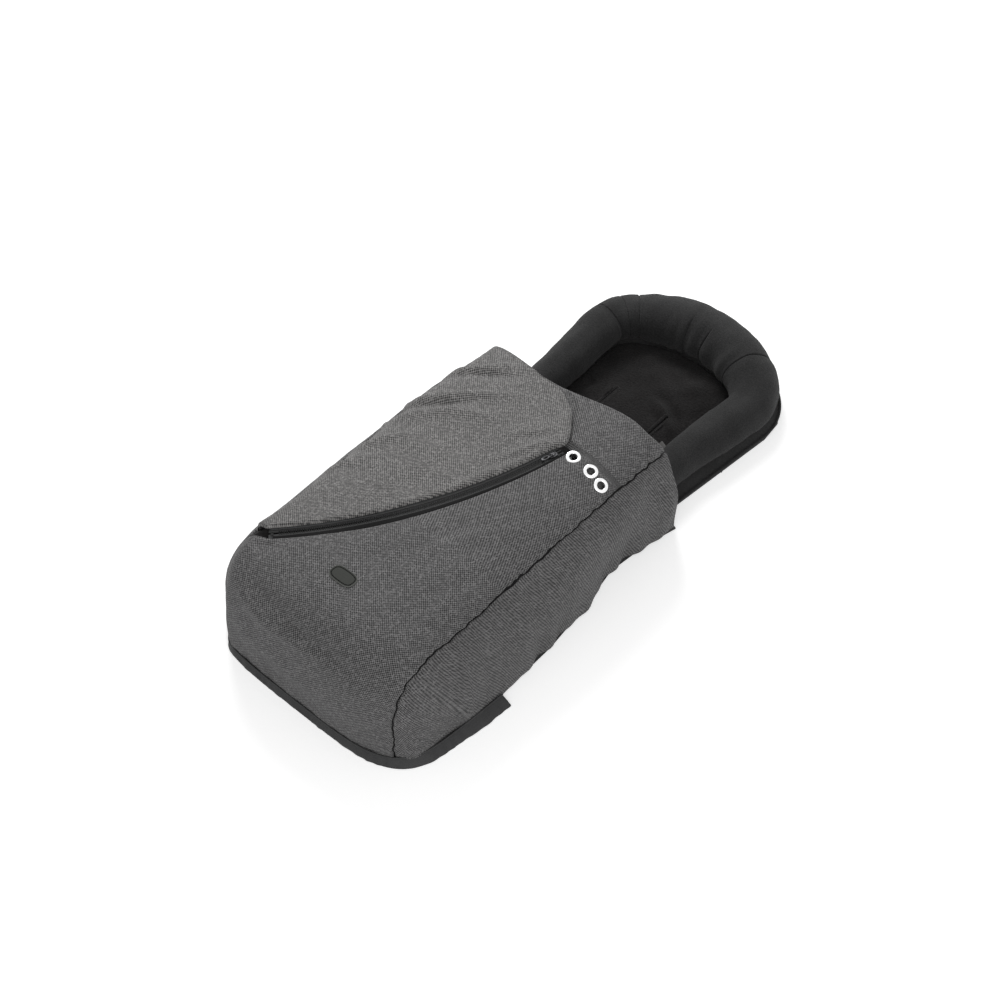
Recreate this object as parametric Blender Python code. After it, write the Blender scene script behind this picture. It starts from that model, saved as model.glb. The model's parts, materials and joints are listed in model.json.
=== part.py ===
# A quilted footmuff for a pushchair, lying on its back as on a seat.
# The origin is on the ground under the middle of the box that holds it all,
# +Y runs to the head end, +X to the wearer's left, +Z up. Lengths are metres.

import math

import bmesh
import bpy
from mathutils import Matrix, Vector

# Cover: a padded box whose cross section and foot end are superellipses
COVER_HALF_WIDTH = 0.206
COVER_HEIGHT = 0.186
SEAM_INSET = 0.030
SEAM_HALF_WIDTH = COVER_HALF_WIDTH - SEAM_INSET
FOOT_BEND_Y = -0.360
FOOT_BEND_DEPTH = 0.145
CROSS_POWER = 4.2
FOOT_POWER = 3.7
CROWN_LIFT_SHARE = 0.06
CROWN_Y = -0.060
CROWN_SPREAD = 0.160
CROWN_FADE_X = 0.050
WAIST_IN = 0.011
WAIST_Y = -0.015
WAIST_SPREAD = 0.060
SWELL_OUT = 0.0095
SWELL_Y = -0.270
SWELL_SPREAD = 0.120
HEAD_EDGE_Y = 0.090
HEAD_EDGE_RISE = 0.019
HEAD_EDGE_RISE_X = -0.030
HEAD_EDGE_CREST_X = 0.115
HEAD_EDGE_FALL = 0.006
GUSSET_FLARE = 0.010
HEM_DEPTH = 0.0035

# Layers of the cover, outside to inside
SHELL_THICK = 0.0022
WADDING_THICK = 0.0070
LINING_THICK = 0.0018
LAYER_GAP = 0.0005
WADDING_DROP = 0.0022
SEAT_GAP = 0.0003
COVER_STACK = SHELL_THICK + WADDING_THICK + LINING_THICK + LAYER_GAP + WADDING_DROP

# Flap: a thinner padded panel that laps over the zip and the head corner
FLAP_SHELL_THICK = 0.0018
FLAP_WADDING_THICK = 0.0018
FLAP_WADDING_DROP = 0.0014
FLAP_LINING_THICK = 0.0009
FLAP_SEAT = 0.0008
FLAP_FADE = 0.030
FLAP_STACK = (FLAP_SHELL_THICK + FLAP_WADDING_THICK + FLAP_LINING_THICK + LAYER_GAP
              + FLAP_WADDING_DROP)
FLAP_HEAD_Y = 0.0885
FLAP_CORNER_X = -0.060
FLAP_EDGE_INSET = 0.005

# Zip: a moulded chain on an arc of a tilted circle
ZIP_HEAD_INSET_X = 0.0977
ZIP_HEAD_INSET_Y = 0.1113
ZIP_FOOT_INSET_X = 0.0447
ZIP_BOW = 0.03225
ZIP_DEPTH = 0.003
ZIP_BLEND = 0.070
FLAP_SIDE_REACH = 0.0145
FRONT_SIDE_REACH = 0.006
INNER_SIDE_REACH = 0.009
TAPE_THICK = 0.0009
TAPE_INNER = 0.0037
TAPE_WIDTH = 0.0133
TOOTH_PITCH = 0.008
TOOTH_HEIGHT = 0.0026
TOOTH_REACH = 0.0013
TOOTH_HEAD = 0.0034
TOOTH_NECK = 0.0024
SPINE_INNER = 0.0022
SPINE_OUTER = 0.0034
PLACKET_INNER = 0.0059
PLACKET_OUTER = 0.0200
SLIDER_LENGTH = 0.015
SLIDER_HALF_WIDTH = 0.0052
SLIDER_PLATE = 0.0015
SLIDER_CHANNEL = 0.0038
SLIDER_SLOT = 0.0014
SLIDER_FLANGE = 0.0010
SLIDER_DRAFT = 0.0001
SLIDER_NECK_LENGTH = 0.0025
SLIDER_NECK_WIDTH = 0.0022
SLIDER_REST = 0.016
STOP_LENGTH = 0.004
STOP_WIDTH = 0.0012
STOP_START = 0.003
TEETH_START = 0.014
TEETH_END = 0.014
ZIP_STEPS = 28
TAB_DROP = 0.0026
TAB_INSET = 0.013
BRIDGE_LENGTH = 0.008
BRIDGE_WIDTH = 0.002
BRIDGE_BAR = 0.001
BRIDGE_ROOM = 0.002
PULL_PIN_RADIUS = 0.0006
PULL_PIN_BACK = 0.001
PULL_ARM_GAP = 0.0006
PULL_ARM_WIDTH = 0.001
PULL_THICK = 0.001
PULL_LENGTH = 0.019
PULL_CLEAR = 0.0056
PULL_HALF_WIDTH = 0.0034

# Eyelets, badge and loop
EYELET_RADIUS = 0.01125
EYELET_HOLE = 0.006
EYELET_SHEET = 0.0007
EYELET_ROLL = 0.0013
EYELET_BARREL_CLEAR = 0.0004
EYELET_SIDES = 16
WASHER_RADIUS = 0.0090
WASHER_SEAT = 0.0016
WASHER_THICK = 0.0007
EYELET_INSETS = ((0.0857, 0.0998), (0.0506, 0.1030), (0.0212, 0.1134))
BADGE_X = 0.002
BADGE_Y = -0.3925
BADGE_LENGTH = 0.040
BADGE_WIDTH = 0.022
BADGE_THICK = 0.0012
LOOP_WEB = 0.010
LOOP_THICK = 0.0012
LOOP_REACH = 0.030
LOOP_DROP = 0.012
LOOP_INSET = 0.028
LOOP_LAP = 0.012
LOOP_SEAT = 0.0015

# Base: grip sheet, wadding and fleece mat, with slots for the harness
BASE_THICK = 0.0035
BASE_LIP = 0.0006
BASE_WADDING_THICK = 0.0075
MAT_THICK = 0.0040
MAT_ROLL = 0.004
POCKET_THICK = 0.0012
POCKET_MOUTH_Y = -0.303
POCKET_FLARE_SIDE = 0.0165
POCKET_FLARE_FOOT = 0.009
POCKET_TURN_IN = 0.020
POCKET_WALL = 0.0105
POCKET_SEAT = 0.0009
POCKET_BINDING_HEIGHT = 0.0028
POCKET_BINDING_THICK = 0.0016
SLOT_WIDTH = 0.0064
SLOT_LENGTH = 0.075
SHOULDER_SLOT_X = 0.052
SHOULDER_SLOT_Y = 0.240
CROTCH_SLOT_Y = -0.060
SLOT_BINDING_WIDTH = 0.004
SLOT_BINDING_THICK = 0.0012

# Bolster: a stuffed horseshoe round the head end
BOLSTER_ARM_END_Y = 0.052
BOLSTER_ARM_INSET = 0.074
BOLSTER_SIDE_INSET = 0.056
BOLSTER_ARM_END_X = COVER_HALF_WIDTH - BOLSTER_ARM_INSET
BOLSTER_SIDE_X = COVER_HALF_WIDTH - BOLSTER_SIDE_INSET
BOLSTER_TURN_Y = 0.361
BOLSTER_TURN_DEPTH = 0.094
BOLSTER_ARM_HALF = 0.034
BOLSTER_SIDE_HALF = 0.041
BOLSTER_HEAD_HALF = 0.056
BOLSTER_ARM_RISE = 0.034
BOLSTER_SIDE_RISE = 0.037
BOLSTER_HEAD_RISE = 0.043
BOLSTER_SKIN = 0.0012
BOLSTER_GROOVE_SHARE = 0.06
BOLSTER_SIDES = 12
BOLSTER_SEAM_ANGLES = (48.0, 84.0, 100.0, 143.0, 156.0, 174.0)
SEAM_HALF_ANGLE = 3.0
PIPING_RADIUS = 0.0022
MAT_INSIDE_SHARE = 0.88

# Shares, and tables of shares
ZIP_FOOT_DEPTH_SHARE = 0.3276
CORNER_ROW_SHARES = (-1.0, -0.85, -0.72, -0.61, -0.52, -0.43, -0.36)
FOOT_STEP_ROW_SHARES = (-0.305, -0.283, -0.26, -0.238, -0.215)
INNER_STEP_ROW_SHARES = (-0.36, -0.34, -0.318, -0.297, -0.275)
TAB_COLUMN_SHARES = (0.0, 0.16, 0.32, 0.48, 0.65, 0.82, 1.0)
TAB_ROW_SHARES = (-0.305, -0.283, -0.26, -0.238, -0.204)
FLAP_FOOT_ROW_SHARE = -0.195
ZIP_ROW_SHARES = (-0.10, 0.0, 0.09, 0.18, 0.27, 0.36, 0.45, 0.54, 0.63, 0.69, 0.745)
TONGUE_ROW_SHARES = (0.78, 0.81, 0.85, 0.89, 0.94)
INNER_ROW_SHARES = (-0.10, 0.0, 0.18, 0.36, 0.54, 0.69, 0.745)
PANEL_COLUMN_SHARES = (0.0, 0.04, 0.09, 0.15, 0.235, 0.491, 0.744, 1.0)
PANEL_EDGE_COLUMN_SHARES = (0.62, 0.77, 0.886, 1.0)
GUSSET_ROW_SHARES = (-1.0, -0.85, -0.72, -0.61, -0.52, -0.43, -0.36, -0.305, -0.26,
                     -0.215, -0.10, 0.0, 0.18, 0.36, 0.54, 0.72, 0.88)
GUSSET_GIRTH_SHARES = (1.0, 0.83, 0.60, 0.30, 0.0)
FLAP_FADE_COLUMN_SHARES = (0.0, 0.33, 0.67, 1.0)
FLAP_COLUMN_SHARES = (0.12, 0.30, 0.62, 1.0)
FLAP_LOW_ROW_SHARES = (0.10, 0.22, 0.34, 0.46, 0.58, 0.70, 0.82, 0.92, 1.0)
FLAP_INNER_ROW_SHARES = (0.20, 0.42, 0.64, 0.84, 1.0)
FLAP_HIGH_ROW_SHARES = (0.25, 0.45, 0.62, 0.76, 0.87, 0.95, 1.0)
TONGUE_LEFT_SHARE = -0.36
FLAP_FADE_SHARE = 0.45

RIM_Z = BASE_THICK + SEAT_GAP
SEAM_GIRTH = (1 - (SEAM_HALF_WIDTH / COVER_HALF_WIDTH) ** CROSS_POWER) ** (1 / CROSS_POWER)
SEAM_GAP = SEAT_GAP / 2
INNER_SEAM_GAP = 2 * LAYER_GAP
STEP = COVER_HALF_WIDTH / 4000


def clear_scene():
    for old in list(bpy.data.objects):
        bpy.data.objects.remove(old, do_unlink=True)


def make_material(name, colour, roughness, metallic=0.0):
    material = bpy.data.materials.new(name)
    material.use_nodes = True
    shader = material.node_tree.nodes["Principled BSDF"]
    shader.inputs["Base Color"].default_value = (*colour, 1.0)
    shader.inputs["Roughness"].default_value = roughness
    shader.inputs["Metallic"].default_value = metallic
    material.diffuse_color = (*colour, 1.0)
    return material


def smooth(share):
    share = min(1.0, max(0.0, share))
    return share * share * (3 - 2 * share)


def hump(y, centre, spread):
    return math.exp(-((y - centre) / spread) ** 2)


# The shape of the cover

def cover_height(x, y):
    reach = smooth((x + CROWN_FADE_X) / (SEAM_HALF_WIDTH + CROWN_FADE_X))
    return COVER_HEIGHT * (1 + CROWN_LIFT_SHARE * hump(y, CROWN_Y, CROWN_SPREAD) * reach)


def side_bulge(y, girth):
    if girth >= SEAM_GIRTH:
        return 0.0
    low = SWELL_OUT * hump(y, SWELL_Y, SWELL_SPREAD) - WAIST_IN * hump(y, WAIST_Y, WAIST_SPREAD)
    return low * (1 - (girth / SEAM_GIRTH) ** 2) ** 2


def cover_value(point):
    """One on the cover's outer surface, more outside it."""
    x, y, z = point
    up = max(0.0, z - RIM_Z) / cover_height(x, y)
    out = max(0.0, FOOT_BEND_Y - y) / FOOT_BEND_DEPTH
    girth = (up ** FOOT_POWER + out ** FOOT_POWER) ** (1 / FOOT_POWER)
    across = (abs(x) - side_bulge(y, girth)) / COVER_HALF_WIDTH
    return max(0.0, across) ** CROSS_POWER + girth ** CROSS_POWER


def cover_normal(point):
    slope = Vector((0.0, 0.0, 0.0))
    for axis in range(3):
        ahead = point.copy()
        behind = point.copy()
        ahead[axis] += STEP
        behind[axis] -= STEP
        slope[axis] = cover_value(ahead) - cover_value(behind)
    return slope.normalized()


def corner_ray(row):
    angle = -row * math.pi / 2
    out, up = math.sin(angle), math.cos(angle)
    reach = (abs(out) ** FOOT_POWER + abs(up) ** FOOT_POWER) ** (-1 / FOOT_POWER)
    return reach * out, max(0.0, reach * up)


def head_edge_y(x):
    rise = smooth((x - HEAD_EDGE_RISE_X) / (HEAD_EDGE_CREST_X - HEAD_EDGE_RISE_X))
    fall = smooth((x - HEAD_EDGE_CREST_X) / (SEAM_HALF_WIDTH - HEAD_EDGE_CREST_X))
    return HEAD_EDGE_Y + HEAD_EDGE_RISE * rise - HEAD_EDGE_FALL * fall


def top_girth(x):
    return (1 - (abs(x) / COVER_HALF_WIDTH) ** CROSS_POWER) ** (1 / CROSS_POWER)


def place_on_cover(x, row, girth, head_y, height_x):
    """Row -1 is the foot's bottom edge, 0 the bend, 1 the head edge."""
    if row >= 0:
        y = FOOT_BEND_Y + (head_y - FOOT_BEND_Y) * row
        return Vector((x, y, RIM_Z + cover_height(height_x, y) * girth))
    out, up = corner_ray(row)
    y = FOOT_BEND_Y - FOOT_BEND_DEPTH * girth * out
    return Vector((x, y, RIM_Z + cover_height(height_x, y) * girth * up))


def top_point(x, row):
    return place_on_cover(x, row, top_girth(x), head_edge_y(x), x)


def top_point_at(x, y):
    if y >= FOOT_BEND_Y:
        return Vector((x, y, RIM_Z + cover_height(x, y) * top_girth(x)))
    out = (FOOT_BEND_Y - y) / FOOT_BEND_DEPTH
    up = (top_girth(x) ** FOOT_POWER - out ** FOOT_POWER) ** (1 / FOOT_POWER)
    return Vector((x, y, RIM_Z + cover_height(x, y) * up))


def side_point(side, row, girth):
    seam_x = side * SEAM_HALF_WIDTH
    head_y = head_edge_y(seam_x) + GUSSET_FLARE * (1 - girth / SEAM_GIRTH)
    point = place_on_cover(seam_x, row, girth, head_y, seam_x)
    wide = COVER_HALF_WIDTH * (1 - girth ** CROSS_POWER) ** (1 / CROSS_POWER)
    point.x = side * (wide + side_bulge(point.y, girth))
    return point


# The zip's tilted circle

def circle_through(a, b, c):
    axis = (b - a).cross(c - a).normalized()
    if axis.z < 0:
        axis = -axis
    ab, ac = b - a, c - a
    cross = ab.cross(ac)
    offset = (ac.length_squared * cross.cross(ab) + ab.length_squared * ac.cross(cross))
    centre = a + offset / (2 * cross.length_squared)
    return centre, axis, (a - centre).length


def zip_anchor(place):
    point = top_point_at(place.x, place.y)
    point.z -= ZIP_DEPTH
    return point


ZIP_HEAD = Vector((SEAM_HALF_WIDTH - ZIP_HEAD_INSET_X, HEAD_EDGE_Y - ZIP_HEAD_INSET_Y, 0.0))
ZIP_FOOT = Vector((ZIP_FOOT_INSET_X - SEAM_HALF_WIDTH, FOOT_BEND_Y - FOOT_BEND_DEPTH * ZIP_FOOT_DEPTH_SHARE, 0.0))
ZIP_BOW_SIDE = (ZIP_FOOT - ZIP_HEAD).cross(Vector((0.0, 0.0, -1.0))).normalized()
ZIP_START = zip_anchor(ZIP_HEAD)
ZIP_FINISH = zip_anchor(ZIP_FOOT)
ZIP_CENTRE, ZIP_AXIS, ZIP_TRACK_RADIUS = circle_through(
    ZIP_START, zip_anchor((ZIP_HEAD + ZIP_FOOT) / 2 + ZIP_BOW_SIDE * ZIP_BOW), ZIP_FINISH)
ZIP_OUT = (ZIP_START - ZIP_CENTRE).normalized()
ZIP_ALONG = ZIP_OUT.cross(ZIP_AXIS).normalized()
ZIP_TURN = ZIP_OUT.angle((ZIP_FINISH - ZIP_CENTRE).normalized())
ZIP_LENGTH = ZIP_TURN * ZIP_TRACK_RADIUS


def zip_point(aside, along, up):
    """Aside is outward from the chain to the front panel, along runs from the head end."""
    turn = along / ZIP_TRACK_RADIUS
    radius = ZIP_TRACK_RADIUS + aside
    flat = ZIP_OUT * math.cos(turn) + ZIP_ALONG * math.sin(turn)
    return ZIP_CENTRE + flat * radius + ZIP_AXIS * up


def zip_place(point):
    arm = point - ZIP_CENTRE
    up = arm.dot(ZIP_AXIS)
    flat = arm - ZIP_AXIS * up
    turn = math.atan2(flat.dot(ZIP_ALONG), flat.dot(ZIP_OUT))
    return flat.length - ZIP_TRACK_RADIUS, turn * ZIP_TRACK_RADIUS, up


def zip_shift(point):
    """How far a panel moves along its normal to lie level with the zip beside it."""
    aside, along, up = zip_place(point)
    beyond = max(0.0, -along, along - ZIP_LENGTH)
    near = smooth(1 - abs(aside) / ZIP_BLEND) * smooth(1 - beyond / ZIP_BLEND)
    edge = smooth((SEAM_HALF_WIDTH - abs(point.x)) / (ZIP_BLEND / 2))
    return (ZIP_DEPTH - up) * near * edge


def zip_edge_x(place, aside):
    """Where a row of the cover, given by place(x), crosses the zip's line at aside."""
    low, high = -SEAM_HALF_WIDTH, SEAM_HALF_WIDTH
    for _ in range(40):
        middle = (low + high) / 2
        if zip_place(place(middle))[0] < aside:
            low = middle
        else:
            high = middle
    return (low + high) / 2


# Building meshes

def finish_body(name, bm, material, parent=None, smooth_angle=40.0):
    bmesh.ops.remove_doubles(bm, verts=bm.verts, dist=STEP / 50)
    bmesh.ops.delete(bm, geom=[edge for edge in bm.edges if not edge.link_faces], context="EDGES")
    bmesh.ops.recalc_face_normals(bm, faces=bm.faces)
    mesh = bpy.data.meshes.new(name)
    bm.to_mesh(mesh)
    bm.free()
    mesh.materials.append(material)
    mesh.shade_smooth()
    mesh.set_sharp_from_angle(angle=math.radians(smooth_angle))
    body = bpy.data.objects.new(name, mesh)
    bpy.context.scene.collection.objects.link(body)
    if parent:
        body.parent = parent
        body.location = -parent.location
    return body


def pivot(name, place):
    empty = bpy.data.objects.new(name, None)
    empty.location = place
    bpy.context.scene.collection.objects.link(empty)
    return empty


def two_sided_grid(name, outer, inner, material, parent=None, closed=False, folded=False):
    """A closed body between two grids of the same size, joined round their rims.

    Closed joins the last column to the first; folded leaves the last row unjoined, because
    its two halves lie on each other.
    """
    bm = bmesh.new()
    rows, columns = len(outer), len(outer[0])
    top = [[bm.verts.new(point) for point in row] for row in outer]
    low = [[bm.verts.new(point) for point in row] for row in inner]

    def triangles(a, b, c, d):
        bm.faces.new((a, b, c))
        bm.faces.new((a, c, d))

    last = columns if closed else columns - 1
    for i in range(rows - 1):
        for j in range(last):
            k = (j + 1) % columns
            triangles(top[i][j], top[i][k], top[i + 1][k], top[i + 1][j])
            triangles(low[i][j], low[i + 1][j], low[i + 1][k], low[i][k])
    for j in range(last):
        k = (j + 1) % columns
        triangles(top[0][k], top[0][j], low[0][j], low[0][k])
        if not folded:
            triangles(top[-1][j], top[-1][k], low[-1][k], low[-1][j])
    if not closed:
        for i in range(rows - 1):
            triangles(top[i][0], top[i + 1][0], low[i + 1][0], low[i][0])
            triangles(top[i + 1][-1], top[i][-1], low[i][-1], low[i + 1][-1])
    return finish_body(name, bm, material, parent)


def layer_body(name, points, outside, inside, material, parent=None):
    """A layer of the cover: a grid of surface points moved along their normals."""
    outer, inner = [], []
    for i, row in enumerate(points):
        outer.append([])
        inner.append([])
        for point in row:
            normal = cover_normal(point)
            shift = zip_shift(point)
            outer[i].append(point + normal * (outside(i, point) + shift))
            inner[i].append(point + normal * (inside(i, point) + shift))
    return two_sided_grid(name, outer, inner, material, parent)


def prism(name, outline, low, high, material):
    bm = bmesh.new()
    bottom = bm.faces.new([bm.verts.new((x, y, low)) for x, y in outline])
    lifted = bmesh.ops.extrude_face_region(bm, geom=[bottom])
    moved = [part for part in lifted["geom"] if isinstance(part, bmesh.types.BMVert)]
    bmesh.ops.translate(bm, verts=moved, vec=(0.0, 0.0, high - low))
    return finish_body(name, bm, material)


def swept_section(name, section, place, steps, material, parent=None):
    """A closed section carried along a path: place(share, aside, up) gives each point."""
    bm = bmesh.new()
    rings = [[bm.verts.new(place(i / steps, a, u)) for a, u in section] for i in range(steps + 1)]
    count = len(section)
    for near, far in zip(rings, rings[1:]):
        for j in range(count):
            k = (j + 1) % count
            bm.faces.new((near[j], near[k], far[k], far[j]))
    bm.faces.new(rings[0])
    bm.faces.new(rings[-1])
    return finish_body(name, bm, material, parent)


def turned_body(name, profile, sides, frame, material, parent=None):
    """A closed profile of (radius, height) spun round a frame's own Z."""
    bm = bmesh.new()
    rings = []
    for i in range(sides):
        turn = 2 * math.pi * i / sides
        ring = [bm.verts.new(frame @ Vector((r * math.cos(turn), r * math.sin(turn), h)))
                for r, h in profile]
        rings.append(ring)
    count = len(profile)
    for i in range(sides):
        near, far = rings[i], rings[(i + 1) % sides]
        for j in range(count):
            k = (j + 1) % count
            bm.faces.new((near[j], near[k], far[k], far[j]))
    return finish_body(name, bm, material, parent)


def box_body(name, low, high, frame, material, parent=None):
    """A box drawn in a frame of its own, which is the object's place."""
    bm = bmesh.new()
    bmesh.ops.create_cube(bm, size=1.0)
    low, high = Vector(low), Vector(high)
    for vertex in bm.verts:
        share = vertex.co + Vector((0.5, 0.5, 0.5))
        vertex.co = Vector([low[k] + (high[k] - low[k]) * share[k] for k in range(3)])
    body = finish_body(name, bm, material, parent)
    body.matrix_basis = body.matrix_basis @ frame
    return body


def as_helper(helper):
    helper.hide_render = True
    helper.display_type = "WIRE"
    return helper


def combine(body, helper, operation):
    modifier = body.modifiers.new(helper.name, "BOOLEAN")
    modifier.operation = operation
    modifier.solver = "EXACT"
    modifier.object = as_helper(helper)


# Rows and columns of the cover's panels

def hem_row(depth):
    return 1 - depth / (HEAD_EDGE_Y - FOOT_BEND_Y)


def panel_row(row, left):
    """Surface points of one row of the front panel, from its left edge to the seam."""
    right = SEAM_HALF_WIDTH - SEAM_GAP
    turn = right * PANEL_EDGE_COLUMN_SHARES[0]
    places = [left + (turn - left) * share for share in PANEL_COLUMN_SHARES]
    places += [right * share for share in PANEL_EDGE_COLUMN_SHARES[1:]]
    return [top_point(x, row) for x in places]


def front_left_x(row, aside, inset, steps):
    """The panel is full width up to the first step and ends at the zip from the last."""
    seam = -SEAM_HALF_WIDTH + SEAM_GAP
    if row <= steps[0]:
        return seam
    if row < steps[-1]:
        end = zip_edge_x(lambda x: top_point(x, steps[-1]), aside)
        return seam + (end - seam) * (row - steps[0]) / (steps[-1] - steps[0])
    edge = zip_edge_x(lambda x: top_point(x, row), aside)
    last = ZIP_ROW_SHARES[-1]
    if row <= last:
        return edge
    reach = smooth((row - last) / (TONGUE_ROW_SHARES[-1] - last))
    return edge + (TONGUE_LEFT_SHARE * SEAM_HALF_WIDTH + inset - edge) * reach


def front_points(rows, aside, inset, steps):
    return [panel_row(row, front_left_x(row, aside, inset, steps)) for row in rows]


def gusset_points(side, rows, gap):
    girths = [SEAM_GIRTH * share for share in GUSSET_GIRTH_SHARES]
    girths[0] -= gap / COVER_HEIGHT
    return [[side_point(side, row, girth) for girth in girths] for row in rows]


def flap_edge_x(y, inset):
    head = FLAP_HEAD_Y - inset
    if y <= ZIP_START.y:
        return zip_edge_x(lambda x: top_point_at(x, y), -FLAP_SIDE_REACH - inset)
    corner = zip_edge_x(lambda x: top_point_at(x, ZIP_START.y), -FLAP_SIDE_REACH - inset)
    rise = min(1.0, (y - ZIP_START.y) / (head - ZIP_START.y))
    return FLAP_CORNER_X + (corner - FLAP_CORNER_X) * math.sqrt(1 - rise * rise)


def flap_points(inset, low_shares):
    left = -SEAM_HALF_WIDTH + SEAM_GAP
    start = top_point(left, FLAP_FOOT_ROW_SHARE).y + inset
    places = [start + (FOOT_BEND_Y - start) * share for share in (0.0, 0.5, 1.0)]
    places += [FOOT_BEND_Y + (ZIP_START.y - FOOT_BEND_Y) * share for share in low_shares]
    head = FLAP_HEAD_Y - inset
    places += [ZIP_START.y + (head - ZIP_START.y) * share for share in FLAP_HIGH_ROW_SHARES]
    rows = []
    for y in places:
        edge = flap_edge_x(y, inset)
        fade = flap_fade(y)
        row = [left + fade * share for share in FLAP_FADE_COLUMN_SHARES]
        row += [left + fade + (edge - left - fade) * share for share in FLAP_COLUMN_SHARES]
        rows.append([top_point_at(x, y) for x in row])
    return rows


def flap_fade(y):
    """How far from the left seam the flap takes to rise to its full height."""
    return min(FLAP_FADE, (flap_edge_x(y, 0.0) + SEAM_HALF_WIDTH) * FLAP_FADE_SHARE)


def flap_drop(point):
    """The flap rides over the front panel and comes down flush at the left seam."""
    rise = smooth((point.x + SEAM_HALF_WIDTH) / flap_fade(point.y))
    return (FLAP_SEAT + FLAP_STACK + SEAT_GAP) * (rise - 1)


# The cover's panels

def build_front(grey, padding, fleece):
    hem = hem_row(HEM_DEPTH)
    hem_end = hem_row(HEM_DEPTH + LAYER_GAP)
    rows = (*CORNER_ROW_SHARES, *FOOT_STEP_ROW_SHARES, *ZIP_ROW_SHARES,
            *TONGUE_ROW_SHARES, hem_end, hem, 1.0)
    hem_rows = (len(rows) - 2, len(rows) - 1)
    front = layer_body(
        "front_panel", front_points(rows, FRONT_SIDE_REACH, 0.0, FOOT_STEP_ROW_SHARES),
        lambda i, point: 0.0,
        lambda i, point: -COVER_STACK if i in hem_rows else -SHELL_THICK, grey)
    inner_rows = (*CORNER_ROW_SHARES[:-1], *INNER_STEP_ROW_SHARES, *INNER_ROW_SHARES,
                  *TONGUE_ROW_SHARES, hem_row(HEM_DEPTH + 2 * LAYER_GAP))
    inner = front_points(inner_rows, INNER_SIDE_REACH, HEM_DEPTH, INNER_STEP_ROW_SHARES)
    top = -SHELL_THICK - WADDING_DROP
    layer_body("front_wadding", inner, lambda i, point: top,
               lambda i, point: top - WADDING_THICK, padding)
    low = top - WADDING_THICK - LAYER_GAP
    layer_body("front_lining", inner, lambda i, point: low,
               lambda i, point: low - LINING_THICK, fleece)
    return front


def build_gusset(side, word, grey, padding, fleece):
    rows = (*GUSSET_ROW_SHARES, hem_row(HEM_DEPTH + LAYER_GAP), hem_row(HEM_DEPTH), 1.0)
    hem_rows = (len(rows) - 2, len(rows) - 1)
    layer_body("gusset_" + word, gusset_points(side, rows, SEAM_GAP), lambda i, point: 0.0,
               lambda i, point: -COVER_STACK if i in hem_rows else -SHELL_THICK, grey)
    inner = gusset_points(side, (*GUSSET_ROW_SHARES, hem_row(HEM_DEPTH + 2 * LAYER_GAP)),
                          INNER_SEAM_GAP)
    top = -SHELL_THICK - LAYER_GAP
    layer_body("gusset_wadding_" + word, inner, lambda i, point: top,
               lambda i, point: top - WADDING_THICK, padding)
    low = top - WADDING_THICK - LAYER_GAP
    layer_body("gusset_lining_" + word, inner, lambda i, point: low,
               lambda i, point: low - LINING_THICK, fleece)


def build_flap(hinge, light_grey, padding, fleece):
    low = FLAP_SEAT
    inner = flap_points(FLAP_EDGE_INSET, FLAP_INNER_ROW_SHARES)
    layer_body("flap_lining", inner, lambda i, point: low + FLAP_LINING_THICK + flap_drop(point),
               lambda i, point: low + flap_drop(point), fleece, hinge)
    low_two = low + FLAP_LINING_THICK + LAYER_GAP
    layer_body("flap_wadding", inner,
               lambda i, point: low_two + FLAP_WADDING_THICK + flap_drop(point),
               lambda i, point: low_two + flap_drop(point), padding, hinge)
    low_three = low_two + FLAP_WADDING_THICK + FLAP_WADDING_DROP
    layer_body("flap_panel", flap_points(0.0, FLAP_LOW_ROW_SHARES),
               lambda i, point: low_three + FLAP_SHELL_THICK + flap_drop(point),
               lambda i, point: low_three + flap_drop(point), light_grey, hinge)


# The zip

def zip_strip(name, section, start, end, steps, material, parent=None):
    def place(share, aside, up):
        return zip_point(aside, start + (end - start) * share, up)
    return swept_section(name, section, place, steps, material, parent)


def rectangle(left, right, low, high):
    return ((left, low), (right, low), (right, high), (left, high))


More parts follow.
